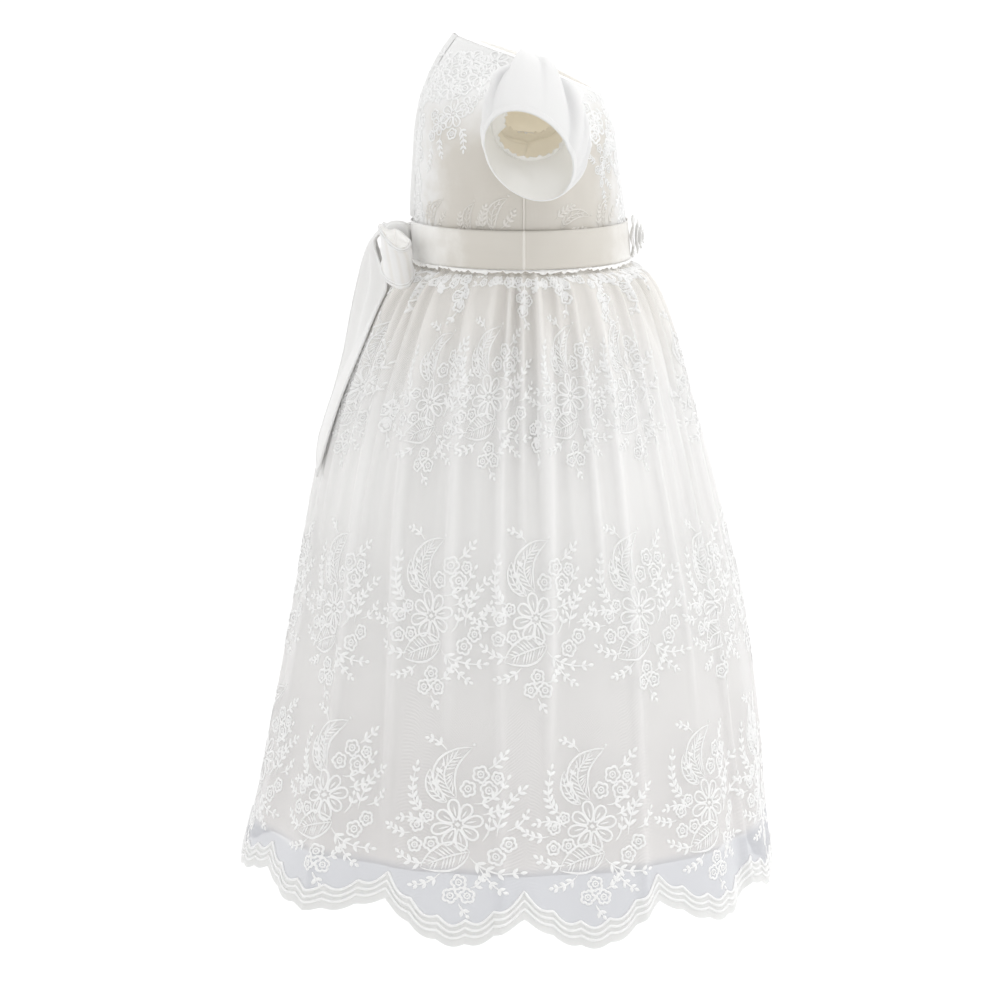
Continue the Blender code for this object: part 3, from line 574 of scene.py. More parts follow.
# Motifs: what each is drawn with, and a row for each time. Bloom: centre, radius, petals, turn. Rose: centre,
# radius, turn. Sprig: start, bend, tip, pairs of leaves, their length. Feather and crescent: root, bend, tip,
# width, veins. Broad leaf: root, tip, width, veins, bend.
bouquet = [
    (bloom, [((0, 0), 19.0, 8, 12.0)]),
    (crescent, [((-1, 20), (-25, 44), (12, 58), 17.0, 9)]),
    (feather, [((-8, 17), (-24, 26), (-21, 42), 8.5, 5)]),
    (veinedLeaf, [((9, -20), (-26, -32), 21.0, 8, -3.0)]),
    (rose, [((8, 27), 6.4), ((18, 38), 6.8, 30), ((24, 26), 7.0, 50), ((31, 36), 4.6, 10),
            ((37, -14), 5.8, 12), ((28, -23), 6.6, 40), ((-19, -14), 5.8, 20), ((-31, -15), 5.6, 55),
            ((-30, 0), 5.2), ((-22, 7), 4.6), ((1, -43), 5.8), ((-5, -53), 5.8, 30), ((7, -53), 5.8, 60)]),
    (sprig, [((24, 42), (30, 45), (37, 53), 2, 7.0), ((29, -8), (31, 14), (49, 26), 5, 8.0),
             ((9, -24), (20, -38), (44, -36), 4, 7.4), ((-22, -28), (-32, -31), (-43, -22), 3, 6.8),
             ((-24, 10), (-40, 16), (-32, 44), 6, 7.0), ((-20, 0), (-32, 8), (-44, 4), 3, 6.5),
             ((19, 8), (25, 8), (33, 14), 2, 6.2), ((18, -12), (24, -6), (24, 2), 1, 6.0),
             ((12, 16), (26, 14), (38, 34), 3, 6.5), ((1, -59), (2, -62), (6, -67), 1, 5.5),
             ((9, -47), (15, -46), (18, -39), 2, 5.5)]),
    # thinner sprigs that fill the ground between them
    (sprig, [((-8, 56), (-14, 64), (-22, 65), 2, 5.6), ((-34, -6), (-46, -8), (-53, -2), 3, 6.0),
             ((-12, -36), (-20, -45), (-31, -45), 3, 6.0), ((15, -30), (22, -44), (32, -49), 3, 6.0),
             ((-14, 22), (-20, 34), (-12, 44), 2, 4.6), ((36, -4), (46, -2), (51, 8), 2, 5.6)]),
]
# lower end of a bouquet that the belt cuts off
hangingSprig = [
    (sprig, [((0, 8), (1, -6), (-1, -17), 3, 7.4, 34.0), ((0, -24), (1, -29), (4, -34), 1, 5.6)]),
    (rose, [((-1, -19), 6.0), ((5, -10), 5.2, 30), ((-5, -7), 4.6, 50)]),
]
# small lump of drawn-up lace
edgeLace = [
    (rose, [((-6, 1), 4.6), ((5, -1), 4.0)]),
    (sprig, [((8, 2), (14, 3), (18, -2), 2, 5.0), ((-9, 0), (-14, -3), (-17, 2), 1, 5.0)]),
]
# tips of a bouquet that the belt cuts off
leafSprig = [
    (crescent, [((-2, -14), (-6, 8), (15, 13), 9.0, 5)]),
    (sprig, [((-12, -12), (-12, 0), (-6, 8), 4, 6.6), ((4, -12), (12, -8), (18, 0), 3, 6.0)]),
]
yokeBloom = [
    (bloom, [((0, 0), 17.0, 7, 5), ((17, 10), 12.0, 6, 20), ((-15, -12), 12.0, 6, 40)]),
    (rose, [((-28, -2), 6.5), ((-26, -26), 6.5), ((6, -22), 6.5), ((-6, 22), 6.5), ((30, 24), 6.5)]),
    (sprig, [((14, -14), (24, -20), (26, -38), 4, 8.0), ((-24, -34), (-28, -48), (-34, -62), 4, 8.0),
             ((-24, 8), (-32, 16), (-34, 30), 4, 8.0), ((-10, -24), (-12, -34), (-6, -46), 3, 8.0)]),
]


def laceGround(width, height, step, seed):
    # close lace: small blooms, roses and leaves over a field
    made = []
    dice = np.random.default_rng(seed)
    for row in range(int(height / (step * 0.87)) + 1):
        for column in range(int(width / step) + 1):
            x = -width / 2 + column * step + (row % 2) * step / 2 + dice.uniform(-1.0, 1.0)
            y = -height / 2 + row * step * 0.87 + dice.uniform(-1.0, 1.0)
            kind = (row * 3 + column * 2) % 5
            turn = dice.uniform(0, 360)
            if kind == 0:
                made.append((bloom, [((x, y), step * 0.72, 6, turn)]))
            elif kind in (2, 3):
                made.append((rose, [((x, y), step * 0.46, turn)]))
            else:
                place, reach = np.array([x, y]), heading(turn) * step * 0.5
                made.append((sprig, [(place - reach, (x, y + 2), place + reach, 2, 6.0)]))
    return made


def motifMesh(motif):
    # all lines of a motif as one set of points, faces and coordinates
    lines = [line for draw, rows in motif for row in rows for line in draw(*row)]
    return joined([(shape.reshape(-1, 3), gridFaces(len(shape), 4)[0], places.reshape(-1, 2))
                   for shape, places in lines])


def placed(points, size=1.0, turn=0.0, mirror=False, squeeze=1.0):
    # a motif turned, scaled and mirrored in its own plane
    turn = math.radians(turn)
    x, y = points[:, 0] * size * (-1 if mirror else 1), points[:, 1] * size
    across = (x * math.cos(turn) - y * math.sin(turn)) * squeeze
    return across, x * math.sin(turn) + y * math.cos(turn), points[:, 2] * min(size + 0.2, 1.0)


def joinMotifs(name, parts, material=thread):
    return addPiece(name, *joined([(points, faces, uvs[faces]) for points, faces, uvs in parts]), material)


view = {"place": (-2.85, 0.017, 0.12), "pitch": 9.4, "lens": 136.7}  # metres, degrees down, millimetres
room = {"floor": -1.0, "size": 60.0, "backdrop": 1.0, "paper": ((0.955, 0.955, 0.955), (0.945, 0.945, 0.945)),
        # soft light of the room: all round, more from behind the gown, from both its ends, and from above
        "light": 0.625, "behind": 0.30, "ends": 0.28, "above": 0.26,
        "sun": 0.9, "sunSpread": 50.0, "sunFrom": (-0.24, -0.36, 1.0)}


def pointAlong(thing, direction):
    # turns the camera or a lamp to face a direction
    thing.rotation_euler = Vector(direction).to_track_quat("-Z", "Y").to_euler()


def setCamera():
    camera = addToScene("camera", bpy.data.cameras.new("camera"))
    camera.location = view["place"]
    pitch = math.radians(view["pitch"])
    pointAlong(camera, (math.cos(pitch), 0, -math.sin(pitch)))
    camera.data.lens = view["lens"]
    camera.data.sensor_width = 36.0
    camera.data.clip_end = 200.0
    bpy.context.scene.camera = camera


def setRoom():
    scene = bpy.context.scene
    scene.view_settings.view_transform = "Standard"
    scene.world = bpy.data.worlds.new("studio")
    nodes = Nodes(scene.world)
    split = nodes.add("SeparateXYZ", {0: nodes.add("TexCoord").outputs["Generated"]})
    light = nodes.math("MULTIPLY_ADD", split.outputs[0], room["behind"], room["light"])
    light = nodes.math("MULTIPLY_ADD", nodes.math("ABSOLUTE", split.outputs[1]), room["ends"], light)
    light = nodes.math("MULTIPLY_ADD", split.outputs[2], room["above"], light)
    soft = nodes.tree.nodes["Background"]
    nodes.feed(soft.inputs["Color"], (1.0, 1.0, 1.0))
    nodes.feed(soft.inputs["Strength"], light)
    # the camera sees plain white behind the floor
    seen = nodes.add("Background", {"Color": (1.0, 1.0, 1.0), "Strength": room["backdrop"]})
    fromCamera = nodes.add("LightPath").outputs["Is Camera Ray"]
    mixed = nodes.add("MixShader", {0: fromCamera, 1: soft.outputs[0], 2: seen.outputs[0]})
    nodes.feed(nodes.tree.nodes["World Output"].inputs["Surface"], mixed.outputs[0])
    sun = addToScene("soft sun", bpy.data.lights.new("soft sun", "SUN"))
    sun.data.energy = room["sun"]
    sun.data.angle = math.radians(room["sunSpread"])
    pointAlong(sun, -Vector(room["sunFrom"]))
    half = room["size"]
    mesh = bpy.data.meshes.new("floor")
    corners = [(-half, -half), (half, -half), (half, half), (-half, half)]
    mesh.from_pydata([(x, y, room["floor"]) for x, y in corners], [], [(0, 1, 2, 3)])
    floor = addToScene("floor", mesh)
    paper = newMaterial("studioPaper")
    mesh.materials.append(paper.finish(baseColor=paper.cloudy(0.6, *room["paper"]), roughness=0.9))


setCamera()
setRoom()
print("camera, light and floor ready")


skirt = {
    # height, half width at the side, depth to the front, depth to the back, depth of the gathers
    "levels": [(-166.9, 94.0, 79.0, 82.0, 1.2), (-169.5, 94.0, 79.0, 82.0, 1.2),
               (-176.0, 104.0, 91.5, 92.0, 2.4), (-190.0, 112.5, 101.0, 103.0, 3.2),
               (-222.0, 126.0, 113.0, 119.0, 3.2), (-272.0, 144.0, 127.0, 140.5, 2.3),
               (-340.0, 162.0, 145.0, 160.0, 1.0), (-430.0, 181.0, 167.0, 176.0, 0.0),
               (-530.0, 198.0, 182.0, 196.0, 0.0), (-642.0, 216.0, 197.0, 225.0, 0.0)],
    # long folds: angle from the right seam round by the front, half width, depth, height where it starts
    "folds": [(10, 7.0, 5.0, -200), (34, 8.0, 4.0, -260), (61, 7.0, 9.0, -190), (82, 9.0, 5.0, -300),
              (105, 8.0, 7.0, -210), (128, 7.0, 5.0, -240), (150, 9.0, 7.0, -200), (172, 7.0, 4.5, -280),
              (197, 8.0, 6.0, -210), (221, 8.0, 5.0, -250), (245, 7.0, 7.0, -200), (270, 10.0, 4.0, -320),
              (296, 8.0, 6.5, -220), (326, 8.0, 7.0, -190), (346, 6.5, 4.5, -230)],
    "foldsFull": -642.0,
    # narrow ridges in the net: angle at the waist, angle at the hem, half width, height, from, to
    "ridges": [(10, 4, 1.5, 3.4, -185, -560), (22, 21, 1.3, 2.2, -200, -430),
               (31, 27, 1.5, 2.6, -180, -640), (47, 45, 1.2, 2.2, -230, -520),
               (56, 64, 1.4, 3.8, -190, -640), (71, 76, 1.4, 2.4, -180, -470),
               (93, 92, 1.6, 2.8, -200, -600), (116, 119, 1.4, 2.4, -190, -520),
               (139, 137, 1.6, 3.0, -185, -640), (161, 164, 1.3, 2.2, -220, -480),
               (183, 181, 1.6, 2.8, -190, -620), (209, 212, 1.4, 2.4, -185, -500),
               (233, 230, 1.5, 3.0, -200, -640), (258, 262, 1.3, 2.2, -210, -470),
               (283, 280, 1.6, 2.8, -185, -600), (308, 314, 1.5, 2.8, -190, -640),
               (321, 331, 1.5, 3.6, -180, -600), (339, 344, 1.5, 3.2, -180, -520),
               (352, 356, 1.3, 2.2, -220, -640)],
    "ridgeGain": 1.2, "ridgeStart": 40.0, "ridgeEnd": 90.0, "wholeRidge": -600,
    "gathers": 48, "strength": 0.85, "sharp": 0.22,
    # ripples along the row of gathers: in their spacing, in their strength, and in the cloth as a whole
    "shifts": [(0.9163, 0.22, 0.0), (2.0944, 0.12, 1.0)],
    "strengths": [(2.3, 0.28, 0.0), (0.7854, 0.35, 1.3)], "sways": [(1.9635, 0.3, 0.0)],
    # joints between the scallops: angle, height, how far the next scallop hangs
    "scallops": [(0, -617, 26), (31, -613, 19), (64, -622, 10), (91, -628, 15), (120, -621, 22),
                 (150, -614, 21), (180, -617, 22), (208, -612, 24), (239, -617, 15), (267, -609, 10),
                 (295, -612, 17), (332, -610, 26), (360, -617, 26)],
    "usualScallop": (-617.0, 22.0), "lobeDepth": 4.0, "lobes": 5, "lobeMiddle": 0.64,
    "netInset": 0.6, "waist": -166.9, "columns": 576,
}
# insets: height, how far the lining lies inside the net
lining = {"insets": [(-593.0, 7.0), (-190.0, 8.0), (-176.0, 8.5), (-169.5, 4.0), (-166.9, 3.2)],
          "clear": 0.4, "hem": -593.0, "gathers": 0.6, "ridges": 0.3, "thick": 0.5, "columns": 288}
skirtLevels = smoothTable(skirt["levels"])
liningInsets = smoothTable(lining["insets"])


def foldDepth(angle, z):
    total = np.zeros(np.broadcast(angle, z).shape)
    for place, width, depth, start in skirt["folds"]:
        grown = easeIn((start - z) / (start - skirt["foldsFull"]))
        total = total + depth * grown * np.exp(-(around(angle, place) / width) ** 2)
    return total


def ridgeHeight(angle, z):
    total = np.zeros(np.broadcast(angle, z).shape)
    down = (skirt["waist"] - z) / (skirt["waist"] - skirt["foldsFull"])
    for top, bottom, width, height, start, end in skirt["ridges"]:
        whole = 1.0 if end < skirt["wholeRidge"] else 0.0
        shown = easeIn((start - z) / skirt["ridgeStart"]) * easeIn((z - end) / skirt["ridgeEnd"] + whole)
        away = around(angle, between(top, bottom, down)) / width
        total = total + skirt["ridgeGain"] * height * shown * np.exp(-away**2)
    return total


def gatherWave(angle):
    # unevenly spaced and uneven gathers, sharper outside than inside
    number = angle / 360.0 * skirt["gathers"]
    turn = 2 * np.pi * (number + ripples(number, skirt["shifts"]))
    wave = np.cos(turn) + skirt["sharp"] * np.cos(2 * turn)
    return (skirt["strength"] + ripples(number, skirt["strengths"])) * wave + ripples(number, skirt["sways"])


def onSkirt(angle, z, inset=0.0, gathers=1.0, ridges=1.0):
    level = skirtLevels(z)
    side, front, back, gather = (level[..., i] for i in range(1, 5))
    drawn = foldDepth(angle, z) + inset - gathers * gather * gatherWave(angle)
    drawn = drawn - ridges * ridgeHeight(angle, z)
    turn = np.radians(angle)
    depth = np.where(np.sin(turn) >= 0, front, back)
    return np.stack([-(side - drawn) * np.cos(turn), -(depth - drawn) * np.sin(turn), z + 0 * turn], axis=-1)


def overSkirt(angle, z, lift):
    # places that far over the net, square to it
    across = onSkirt(angle + 0.35, z) - onSkirt(angle - 0.35, z)
    upright = onSkirt(angle, z + 1.5) - onSkirt(angle, z - 1.5)
    return onSkirt(angle, z, skirt["netInset"]) + unit(np.cross(across, upright)) * lift


def hemHeight(angle, lobe=0.6):
    # outer edge of the scallops; the rows of stitching above it have deeper lobes and sharper joints
    joints = np.array(skirt["scallops"], float)
    angle = angle % 360.0
    i = np.clip(np.searchsorted(joints[:, 0], angle, side="right") - 1, 0, len(joints) - 2)
    along = (angle - joints[i, 0]) / (joints[i + 1, 0] - joints[i, 0])
    joint = between(joints[i, 1], joints[i + 1, 1], easeIn(along))
    ripple = between(skirt["lobeMiddle"], np.abs(np.sin(skirt["lobes"] * np.pi * along)), lobe)
    soft = np.clip(0.30 - 0.27 * lobe, 0.0, 1.0)
    return joint - joints[i, 2] * np.sqrt(np.sin(np.pi * along) ** 2 + soft**2) - skirt["lobeDepth"] * ripple


def skirtPlaces(bottom, *shares):
    # angles and heights of a grid; shares run from 0 at the bottom edge to 1 at the waist
    z = bottom + (skirt["waist"] - bottom) * np.concatenate(shares)[:, None]
    return np.broadcast_to(roundTurn(len(bottom), 360.0), z.shape), z


# where the net lies double: ridge, gather and fold that count as full, and where it fades towards the hem
doubled = {"ridge": 3.0, "gather": 4.0, "crest": 1.6, "fold": 9.0, "trough": 0.6, "fadeFrom": -380.0,
           "fadeOver": 120.0, "fade": 0.45}


def doubling(angle, z):
    # how much the gathers and ridges double the net at each point
    high = ridgeHeight(angle, z) / doubled["ridge"]
    crest = np.clip(gatherWave(angle), 0.0, doubled["crest"]) * skirtLevels(z)[..., 4] / doubled["gather"]
    trough = np.clip(foldDepth(angle, z) / doubled["fold"], 0.0, doubled["trough"])
    fade = doubled["fade"] * easeIn((doubled["fadeFrom"] - z) / doubled["fadeOver"])
    return np.clip(high + crest - 0.5 * trough, 0.0, 1.0) * (1.0 - fade)


def makeSkirt():
    edge = hemHeight(roundTurn(skirt["columns"], 360.0))
    angle, z = skirtPlaces(edge, [0.0], np.linspace(0.02, 0.90, 54), np.linspace(0.905, 1.0, 28))
    outer = addCloth("skirtNet", onSkirt(angle, z, skirt["netInset"]), net, wrap=True,
                     nodes=("skirt_lace_front", "skirt_lace_back"))
    markPoints(outer, "doubled", doubling(angle, z))
    edge = np.full(lining["columns"], lining["hem"])
    angle, z = skirtPlaces(edge, np.linspace(0.0, 0.9, 34), np.linspace(0.91, 1.0, 14))
    inset = liningInsets(z)[..., 1] + lining["clear"]
    inner = addCloth("skirtLining", onSkirt(angle, z, inset, lining["gathers"], lining["ridges"]), cotton,
                     wrap=True, thick=lining["thick"], nodes=("skirt_lining_front", "skirt_lining_back"),
                     slot="cotton_lining")
    return outer, inner


# hem: how far each row of cord lies over the edge, how deep its lobes are, and the close net behind them
hemLook = {"rows": (6.3, 10.7, 15.4), "lobes": (0.75, 0.9, 1.1), "radius": 1.05, "lift": 0.55, "steps": 960,
           "band": 15.6, "bandLift": 0.25}


def makeHemBorder():
    # close net along the scallops and three rows of corded stitches on it
    angle = roundTurn(hemLook["steps"], 360.0)

    def row(lobe, up, lift):
        return overSkirt(angle, hemHeight(angle, lobe) + up, lift)
    band = [row(0.6 + share * 0.4, share * hemLook["band"], hemLook["bandLift"])
            for share in np.linspace(0.0, 1.0, 7)]
    cords = [row(lobe, up, hemLook["lift"]) for lobe, up in zip(hemLook["lobes"], hemLook["rows"])]
    return [addCloth("hemBorder", np.array(band), border, wrap=True),
            addCords("hemCords", cords, hemLook["radius"], thread, closed=True)]


def sewOnSkirt(motif, angle, z, **how):
    points, faces, uvs = motif
    u, v, high = placed(points, **how)
    level = skirtLevels(np.array([z]))[0]
    radius = (level[1] + (level[2] + level[3]) / 2) / 2
    heights = z + v * 0.95
    keep = (heights[faces] < skirt["waist"] - 4.0).all(axis=1)
    cloth = overSkirt(angle + np.degrees(u / radius), heights, (stitchLook["lift"] + high)[:, None])
    return cloth, faces[keep], uvs


# rows of bouquets: height, size, squeeze across, angles round the skirt; without angles, one on each scallop
bouquetRows = {
    "upperBouquets": (-256.0, 0.88, 0.70, (16, 39, 78, 109, 138, 166, 197, 229, 262, 296, 330, 349)),
    "middleBouquets": (-411.0, 1.0, 0.88, (3, 31, 61, 92, 121, 150, 181, 212, 243, 275, 306, 337)),
    "lowerBouquets": (-556.0, 1.0, 1.0, ()),
}
hanging = {"size": 0.78, "squeeze": 0.8}
# sprigs that hang from the belt: angle, distance down
waistSprigs = [(0, 180), (17, 172), (35, 181), (52, 174), (69, 171), (92, 178), (118, 173), (139, 182),
               (163, 175), (188, 180), (209, 172), (236, 179), (258, 176), (284, 173), (308, 174),
               (333, 178)]
# sprigs between the upper bouquets, where the gap is wide enough, in degrees
fillers = {"z": -262.0, "size": 0.95, "squeeze": 0.72, "gap": 26.0}
# lumps of lace that the gathers draw up under the belt
waistLace = {"count": 38, "z": -174.5, "size": 0.72}


def bouquetPlaces(z, angles):
    if angles:
        return [(angle, z + uneven(number, 4.0, 1.7, 0.6)) for number, angle in enumerate(angles)]
    usual, hang = skirt["usualScallop"]
    joints = skirt["scallops"]
    return [((start[0] + end[0]) / 2.0, z + ((start[1] + end[1]) / 2.0 - usual - (start[2] - hang)) * 0.8)
            for start, end in zip(joints, joints[1:])]


def makeSkirtEmbroidery():
    flowers, tip, lump = motifMesh(bouquet), motifMesh(hangingSprig), motifMesh(edgeLace)
    made = {}
    for name, (z, size, squeeze, angles) in bouquetRows.items():
        made[name] = [sewOnSkirt(flowers, *place, size=size, squeeze=squeeze, turn=uneven(number, 3.0, 1.3))
                      for number, place in enumerate(bouquetPlaces(z, angles))]
    made["waistSprigs"] = [sewOnSkirt(tip, angle, -drop, mirror=number % 2 == 1,
                                      turn=uneven(number, 8.0, 1.1), **hanging)
                           for number, (angle, drop) in enumerate(waistSprigs)]
    made["fillerSprigs"] = []
    angles = bouquetRows["upperBouquets"][-1]
    for number, (angle, beside) in enumerate(zip(angles, angles[1:] + (angles[0] + 360,))):
        if beside - angle >= fillers["gap"]:
            made["fillerSprigs"].append(
                sewOnSkirt(tip, (angle + beside) / 2 + 2.0, fillers["z"] + uneven(number, 9.0, 2.1),
                           size=fillers["size"], squeeze=fillers["squeeze"], mirror=number % 2 == 0,
                           turn=uneven(number, 12.0, 1.7)))
    made["waistLace"] = []
    for number in range(waistLace["count"]):
        angle = 360.0 * (number + uneven(number, 0.25, 2.3)) / waistLace["count"]
        made["waistLace"].append(
            sewOnSkirt(lump, angle, waistLace["z"] + uneven(number, 1.2, 1.9), mirror=number % 3 == 1,
                       size=waistLace["size"] * (1.0 + uneven(number, 0.2, 3.1)),
                       turn=uneven(number, 25.0, 1.3)))
    return [joinMotifs(name, parts) for name, parts in made.items()]


frill = {"level": -167.0, "top": -166.1, "drop": 2.2, "inner": 0.8, "outer": 2.4, "wave": 0.9, "thick": 0.3,
         "columns": 840,
         "ripples": [(97, 0.6, 0.0), (61, 0.6, 1.0), (143, 0.3, 2.0), (23, 0.7, 0.4), (9, 0.7, 2.2)]}


def makeFrill():
    # raw gathered edge that peeps out under the belt, in the glowing inside satin: painted light on it in the
    # belt's shade
    share, turn = crossed(np.linspace(1.0, 0.0, 6), roundTurn(frill["columns"]))
    side, front, back = skirtLevels(np.array([frill["level"]]))[0][1:4]
    ripple = share * frill["wave"] * ripples(turn, frill["ripples"])
    out = between(frill["inner"], frill["outer"], share) + 0.5 * ripple
    depth = np.where(np.sin(turn) >= 0, front, back)
    grid = np.stack([-(side + out) * np.cos(turn), -(depth + out) * np.sin(turn),
                     frill["top"] - frill["drop"] * share ** 1.5 + ripple], axis=2)
    return addCloth("waistFrill", grid, bowInside, wrap=True, thick=frill["thick"])


skirtNet, skirtLining = makeSkirt()
hemBorder = makeHemBorder()
skirtEmbroidery = makeSkirtEmbroidery()
waistFrill = makeFrill()
print("skirt ready")


bodice = {
    # height, side, front, back, roundness
    "levels": [(-166.3, 95.0, 79.0, 82.0, 1.95), (-151.0, 95.5, 78.0, 82.2, 2.0),
               (-131.0, 96.2, 75.8, 82.5, 2.05), (-110.0, 97.2, 73.0, 81.8, 2.15),
               (-87.5, 98.0, 69.7, 80.2, 2.25)],
    "columns": 12, "lowRows": 5, "highRows": 6, "relax": 3, "finer": 4,
    "waist": -166.3, "underarm": -87.5,
    "armhole": {"y": -5.0, "z": -54.5, "halfWidth": 29.5, "halfHeight": 33.0, "egg": 0.12, "x": 98.0,
                "topInset": 6.0, "frontInset": 9.0, "backInset": 2.0},
    "neck": {"halfWidth": 52.0, "y": -3.0, "z": -17.0, "columns": 8},
    # centre of the neckline and of the chest: distance back, height
    "frontNeck": (-57.3, -43.0), "backNeck": (50.1, 1.0), "frontChest": (-67.0, -66.0),
    "backChest": (79.5, -35.0),
    "thick": 1.2, "seamGap": 0.15,
    # soft creases: angle from the centre line, slant, half width, depth, low and high end
    "creases": [(62, 8, 5.0, 1.4, -160, -95), (78, -10, 4.0, 1.2, -165, -100),
                (40, 12, 6.0, 1.1, -160, -110), (55, -14, 5.0, 1.0, -140, -80),
                (20, 6, 6.0, 0.8, -165, -120)],
}
bodiceLevels = smoothTable(bodice["levels"])


def bodiceSection(turn, z, front, outwards=0.0):
    # a point for each turn, from the centre line towards the wearer's right
    level = bodiceLevels(z)
    power = 2.0 / level[..., 4]
    x = (level[..., 1] + outwards) * np.sin(turn) ** power
    y = (level[..., 2 if front else 3] + outwards) * np.maximum(np.cos(turn), 0.0) ** power
    return np.stack([-x, -y if front else y, z + 0 * x], axis=-1)


def armholePoint(beta, shrink=0.0):
    # beta 0 at the back, 90 degrees at the shoulder, 180 at the front
    hole = bodice["armhole"]
    across, up = np.cos(beta), np.sin(beta)
    sideInset = np.where(across > 0, hole["backInset"], hole["frontInset"])
    inset = sideInset * across**2 + hole["topInset"] * (1.0 + up) / 2.0
    return np.stack([-(hole["x"] - inset),
                     hole["y"] + (hole["halfWidth"] * (1.0 - hole["egg"] * up) - shrink) * across,
                     hole["z"] + (hole["halfHeight"] - shrink) * up], axis=-1)


def topEdge(column, front):
    # neckline from the centre out, then the shoulder out to the armhole
    neck = bodice["neck"]
    point = np.array([-neck["halfWidth"], neck["y"], neck["z"]])
    if column > neck["columns"]:
        along = (column - neck["columns"]) / (bodice["columns"] - neck["columns"])
        return between(point, armholePoint(math.pi / 2), along)
    turn = math.pi / 2 * column / neck["columns"]
    middle = np.array([0.0, *bodice["frontNeck" if front else "backNeck"]])
    corner = np.array([0.0, neck["y"], neck["z"]])
    return corner + (point - corner) * math.sin(turn) + (middle - corner) * math.cos(turn)


def pointsAlong(line, places):
    # points at given lengths along a line
    reach = lengthAlong(line)
    return np.stack([np.interp(places, reach, line[:, axis]) for axis in range(3)], axis=1)


def bodiceHalf(front):
    # outer face of the right half: waist first, centre first
    share = np.linspace(0.0, 1.0, bodice["columns"] + 1)
    rows = [bodiceSection(math.pi / 2 * share, z + 0 * share, front)
            for z in np.linspace(bodice["waist"], bodice["underarm"], bodice["lowRows"] + 1)]
    bottom = rows[-1]
    bottom[-1] = armholePoint(-math.pi / 2)
    top = np.array([topEdge(column, front) for column in range(bodice["columns"] + 1)])
    chest = np.array([0.0, *bodice["frontChest" if front else "backChest"]])
    turn = -math.pi if front else math.pi
    share = share[:, None]
    for rise in np.arange(1, bodice["highRows"]) / bodice["highRows"]:
        # each row lies between the waist, the top edge, the centre line and the armhole
        centre = bottom[0] * (1 - rise)**2 + chest * 2 * rise * (1 - rise) + top[0] * rise**2
        sideways = between(centre, armholePoint(-math.pi / 2 + turn * rise), share)
        corners = between(between(bottom[0], bottom[-1], share), between(top[0], top[-1], share), rise)
        row = between(bottom, top, rise) + sideways - corners
        rows.append(pointsAlong(row, np.linspace(0, lengthAlong(row)[-1], len(row))))
    grid = np.array(rows + [top])
    for _ in range(bodice["relax"]):
        inner = grid[1:-1, 1:-1]
        middle = (grid[:-2, 1:-1] + grid[2:, 1:-1] + grid[1:-1, :-2] + grid[1:-1, 2:]) / 4
        grid[1:-1, 1:-1] = (inner + middle) / 2
    return refine(grid, bodice["finer"])


def creaseBodice(grid, sign):
    # troughs pressed into the cloth, other depths on the other half
    turn = np.degrees(np.arctan2(np.abs(grid[..., 0]), np.abs(grid[..., 1])))
    drawn = np.zeros(turn.shape)
    for number, (place, slant, width, depth, low, high) in enumerate(bodice["creases"]):
        share = (grid[..., 2] - low) / (high - low)
        inside = np.sin(np.pi * np.clip(share, 0, 1)) ** 0.7
        depth = depth * (1.0 + uneven(number, 0.35 * sign, 2.4))
        drawn += depth * inside * np.exp(-((turn - place - slant * share + 3 * sign) / width) ** 2)
    return grid - outwardNormals(grid) * drawn[..., None]


def makeBodice():
    front, back = bodiceHalf(True), bodiceHalf(False)
    gap = bodice["seamGap"]
    whole = np.concatenate([creaseBodice(front, 1)[:, ::-1], mirrorX(creaseBodice(front, -1))[:, 1:]], axis=1)
    whole[:, [0, -1], 1] -= gap
    cut = [("bodiceFront", "bodice_front", whole, False)]
    for name, node, sign in (("bodiceBackRight", "bodice_back_right", 1),
                             ("bodiceBackLeft", "bodice_back_left", -1)):
        grid = creaseBodice(back, sign)
        grid[:, 0, 0] -= gap
        grid[:, -1, 1] += gap
        cut.append((name, node, grid * np.array([sign, 1.0, 1.0]), sign < 0))
    return [addCloth(name, grid, bodiceCloth, flip=flip, thick=bodice["thick"], inside=insideCloth,
                     nodes=(node,)) for name, node, grid, flip in cut]


def surfaceTree(pieces):
    # one search tree over the outer faces of several pieces
    points, faces = [], []
    for piece in pieces:
        start = len(points)
        points += [v.co for v in piece.data.vertices]
        faces += [[start + i for i in p.vertices] for p in piece.data.polygons]
    return BVHTree.FromPolygons(points, faces)


# motifs on the bodice: how far out each stitch starts and how far it reaches in, in metres, and how square to
# the cloth it has to meet it
sewing = {"start": 0.03, "far": 0.075, "square": 0.25}


def sewOnBodice(motif, tree, at, out, **how):
    # lays a motif on the cloth, straight along one direction
    points, faces, uvs = motif
    out = Vector(out).normalized()
    right = Vector((0, 0, 1)).cross(out).normalized()
    up = out.cross(right)
    found = np.full((len(points), 3), np.nan)
    for i, (u, v, high) in enumerate(zip(*placed(points, **how))):
        start = Vector(at) * mm + (right * float(u) + up * float(v)) * mm + out * sewing["start"]
        place, normal, _, _ = tree.ray_cast(start, -out, sewing["far"])
        # cloth that turns away too far is left bare
        if place is not None and abs(normal.dot(out)) >= sewing["square"]:
            normal = normal if normal.dot(out) > 0 else -normal
            found[i] = (place + normal * float(stitchLook["lift"] + high) * mm) / mm
    keep = np.isfinite(found[faces]).all(axis=(1, 2))
    return np.nan_to_num(found), faces[keep], uvs


